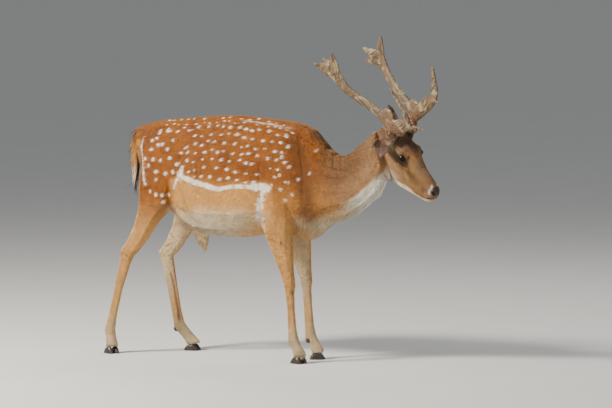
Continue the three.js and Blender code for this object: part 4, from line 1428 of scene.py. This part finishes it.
def skin_material():
    material, nodes, links, shader = new_material("short_coat")
    colour = attribute_node(nodes, "coat_colour").outputs["Color"]
    wet = attribute_node(nodes, "wet").outputs["Fac"]
    links.new(mottle(nodes, links, colour, 260, 0.8, 1.08), shader.inputs["Base Color"])
    links.new(mapped(nodes, links, wet, 0, 1, DRY_ROUGHNESS, WET_ROUGHNESS), shader.inputs["Roughness"])
    shader.inputs["Specular IOR Level"].default_value = 0.35
    add_bump(nodes, links, shader, noise_texture(nodes, links, 700, 3).outputs["Fac"], 0.55, 0.0008)
    return material

# %% [markdown]
# Antler is dry bone with a rough grain. Hoof horn grows in fine level rings, so its noise is stretched
# flat. The eye is smooth and wet, and its dark colour was painted on the mesh.

# %% Bone, horn and eye
def antler_material():
    material, nodes, links, shader = new_material("antler_bone")
    colour = attribute_node(nodes, "bone_colour").outputs["Color"]
    links.new(mottle(nodes, links, colour, 180, 0.86, 1.1), shader.inputs["Base Color"])
    shader.inputs["Roughness"].default_value = 0.58
    add_bump(nodes, links, shader, noise_texture(nodes, links, 520, 6).outputs["Fac"], 0.45, 0.0008)
    return material


def hoof_material():
    material, nodes, links, shader = new_material("hoof_horn")
    coordinates = nodes.new("ShaderNodeTexCoord").outputs["Object"]
    stretch = nodes.new("ShaderNodeMapping")
    stretch.inputs["Scale"].default_value = (0.15, 0.15, 1.0)
    links.new(coordinates, stretch.inputs["Vector"])
    rings = noise_texture(nodes, links, 420, 3, stretch.outputs["Vector"])
    ramp = nodes.new("ShaderNodeValToRGB")
    ramp.color_ramp.elements[0].color = (*paint(34, 31, 32), 1)
    ramp.color_ramp.elements[1].color = (*paint(78, 70, 66), 1)
    links.new(rings.outputs["Fac"], ramp.inputs["Fac"])
    links.new(ramp.outputs["Color"], shader.inputs["Base Color"])
    shader.inputs["Roughness"].default_value = 0.38
    add_bump(nodes, links, shader, rings.outputs["Fac"], 0.4, 0.0008)
    return material


def eye_material():
    material, nodes, links, shader = new_material("wet_eye")
    colour = attribute_node(nodes, "eye_colour").outputs["Color"]
    links.new(mottle(nodes, links, colour, 600, 0.85, 1.15), shader.inputs["Base Color"])
    shader.inputs["Roughness"].default_value = 0.06
    shader.inputs["Specular IOR Level"].default_value = 0.18
    shader.inputs["IOR"].default_value = 1.35
    return material

# %% [markdown]
# Each piece gets its finish and rides on the figure's one body. The skin takes the place of all the
# flesh solids.

# %% Dress the pieces
def finish(pieces, material):
    for piece in pieces:
        piece.data.materials.clear()
        piece.data.materials.append(material)
        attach(piece, "root")


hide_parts(*flesh)
finish([skin], skin_material())
coat_hair = hair_material()
for piece in coats:
    finish([piece], coat_hair)
print(len(coats), "coat pieces")
finish(antlers, antler_material())
finish(hooves, hoof_material())
finish(eyes, eye_material())

# %% [markdown]
# The camera stands at the height of a grown person's chest, eleven metres off with a long lens, a little
# ahead of the deer's right side. The target is a place in the middle of the body.

# %% Camera
FLOOR_SIZE = 4000
WALL_RADIUS, WALL_HEIGHT = FLOOR_SIZE * 0.45, 600
CAMERA_TARGET = BODY + [0.10, 0, 0.57]
CAMERA_AZIMUTH, CAMERA_ELEVATION, CAMERA_DISTANCE = 27.0, 3.9, 11.0
FOCAL_PIXELS, IMAGE_WIDTH, SENSOR = 3047.0, 612.0, 36.0
a, e = math.radians(CAMERA_AZIMUTH), math.radians(CAMERA_ELEVATION)
backward = Vector((math.sin(a) * math.cos(e), -math.cos(a) * math.cos(e), math.sin(e)))
camera = bpy.data.objects.new("camera", bpy.data.cameras.new("camera"))
camera.data.sensor_width = SENSOR
camera.data.lens = FOCAL_PIXELS / IMAGE_WIDTH * SENSOR
camera.location = Vector(CAMERA_TARGET) + backward * CAMERA_DISTANCE
camera.rotation_mode = "QUATERNION"
camera.rotation_quaternion = (-backward).to_track_quat("-Z", "Y")
camera.data.clip_start, camera.data.clip_end = 0.1, FLOOR_SIZE
bpy.context.scene.collection.objects.link(camera)
bpy.context.scene.camera = camera

# %% [markdown]
# The studio is plain: a pale floor that is carried on by a far pale wall, one warm lamp high to the left
# for shape, a broad cool one to soften its shade, and a weak one behind to part the back from the wall.

# %% Floor and light
bpy.ops.object.select_all(action="DESELECT")
bpy.ops.mesh.primitive_plane_add(size=FLOOR_SIZE, location=(0, 0, 0))
floor = bpy.context.view_layer.objects.active
floor.name = "floor"


def studio_paint(name, brightness):
    material, nodes, links, shader = new_material(name)
    tint = nodes.new("ShaderNodeRGB")
    tint.outputs["Color"].default_value = (brightness, brightness, brightness * 0.985, 1)
    links.new(mottle(nodes, links, tint.outputs["Color"], 3, 0.98, 1.02), shader.inputs["Base Color"])
    shader.inputs["Roughness"].default_value = 0.8
    return material


floor.data.materials.append(studio_paint("pale_floor", 0.66))
# A far round wall of the same paint carries the floor on up, so that no horizon shows.
bpy.ops.object.select_all(action="DESELECT")
bpy.ops.mesh.primitive_cylinder_add(vertices=96, radius=WALL_RADIUS, depth=WALL_HEIGHT,
                                    end_fill_type="NOTHING")
wall = bpy.context.view_layer.objects.active
wall.name = "wall"
wall.data.materials.append(studio_paint("pale_wall", 0.86))


def add_light(name, azimuth, elevation, distance, size, power, colour):
    a, e = math.radians(azimuth), math.radians(elevation)
    back = Vector((math.sin(a) * math.cos(e), -math.cos(a) * math.cos(e), math.sin(e)))
    lamp = bpy.data.objects.new(name, bpy.data.lights.new(name, "AREA"))
    lamp.data.size = size
    lamp.data.energy = power
    lamp.data.color = colour
    lamp.location = Vector(CAMERA_TARGET) + back * distance
    lamp.rotation_mode = "QUATERNION"
    lamp.rotation_quaternion = (-back).to_track_quat("-Z", "Y")
    bpy.context.scene.collection.objects.link(lamp)


add_light("key", -42, 38, 4.5, 0.9, 430, (1.0, 0.93, 0.82))
add_light("fill", 70, 22, 5.0, 3.0, 45, (0.92, 0.96, 1.0))
add_light("rim", 170, 50, 4.5, 2.0, 60, (1.0, 0.97, 0.92))
world = bpy.context.scene.world or bpy.data.worlds.new("world")
bpy.context.scene.world = world
world.use_nodes = True
world.node_tree.nodes["Background"].inputs["Color"].default_value = (0.86, 0.88, 0.9, 1)
world.node_tree.nodes["Background"].inputs["Strength"].default_value = 0.36
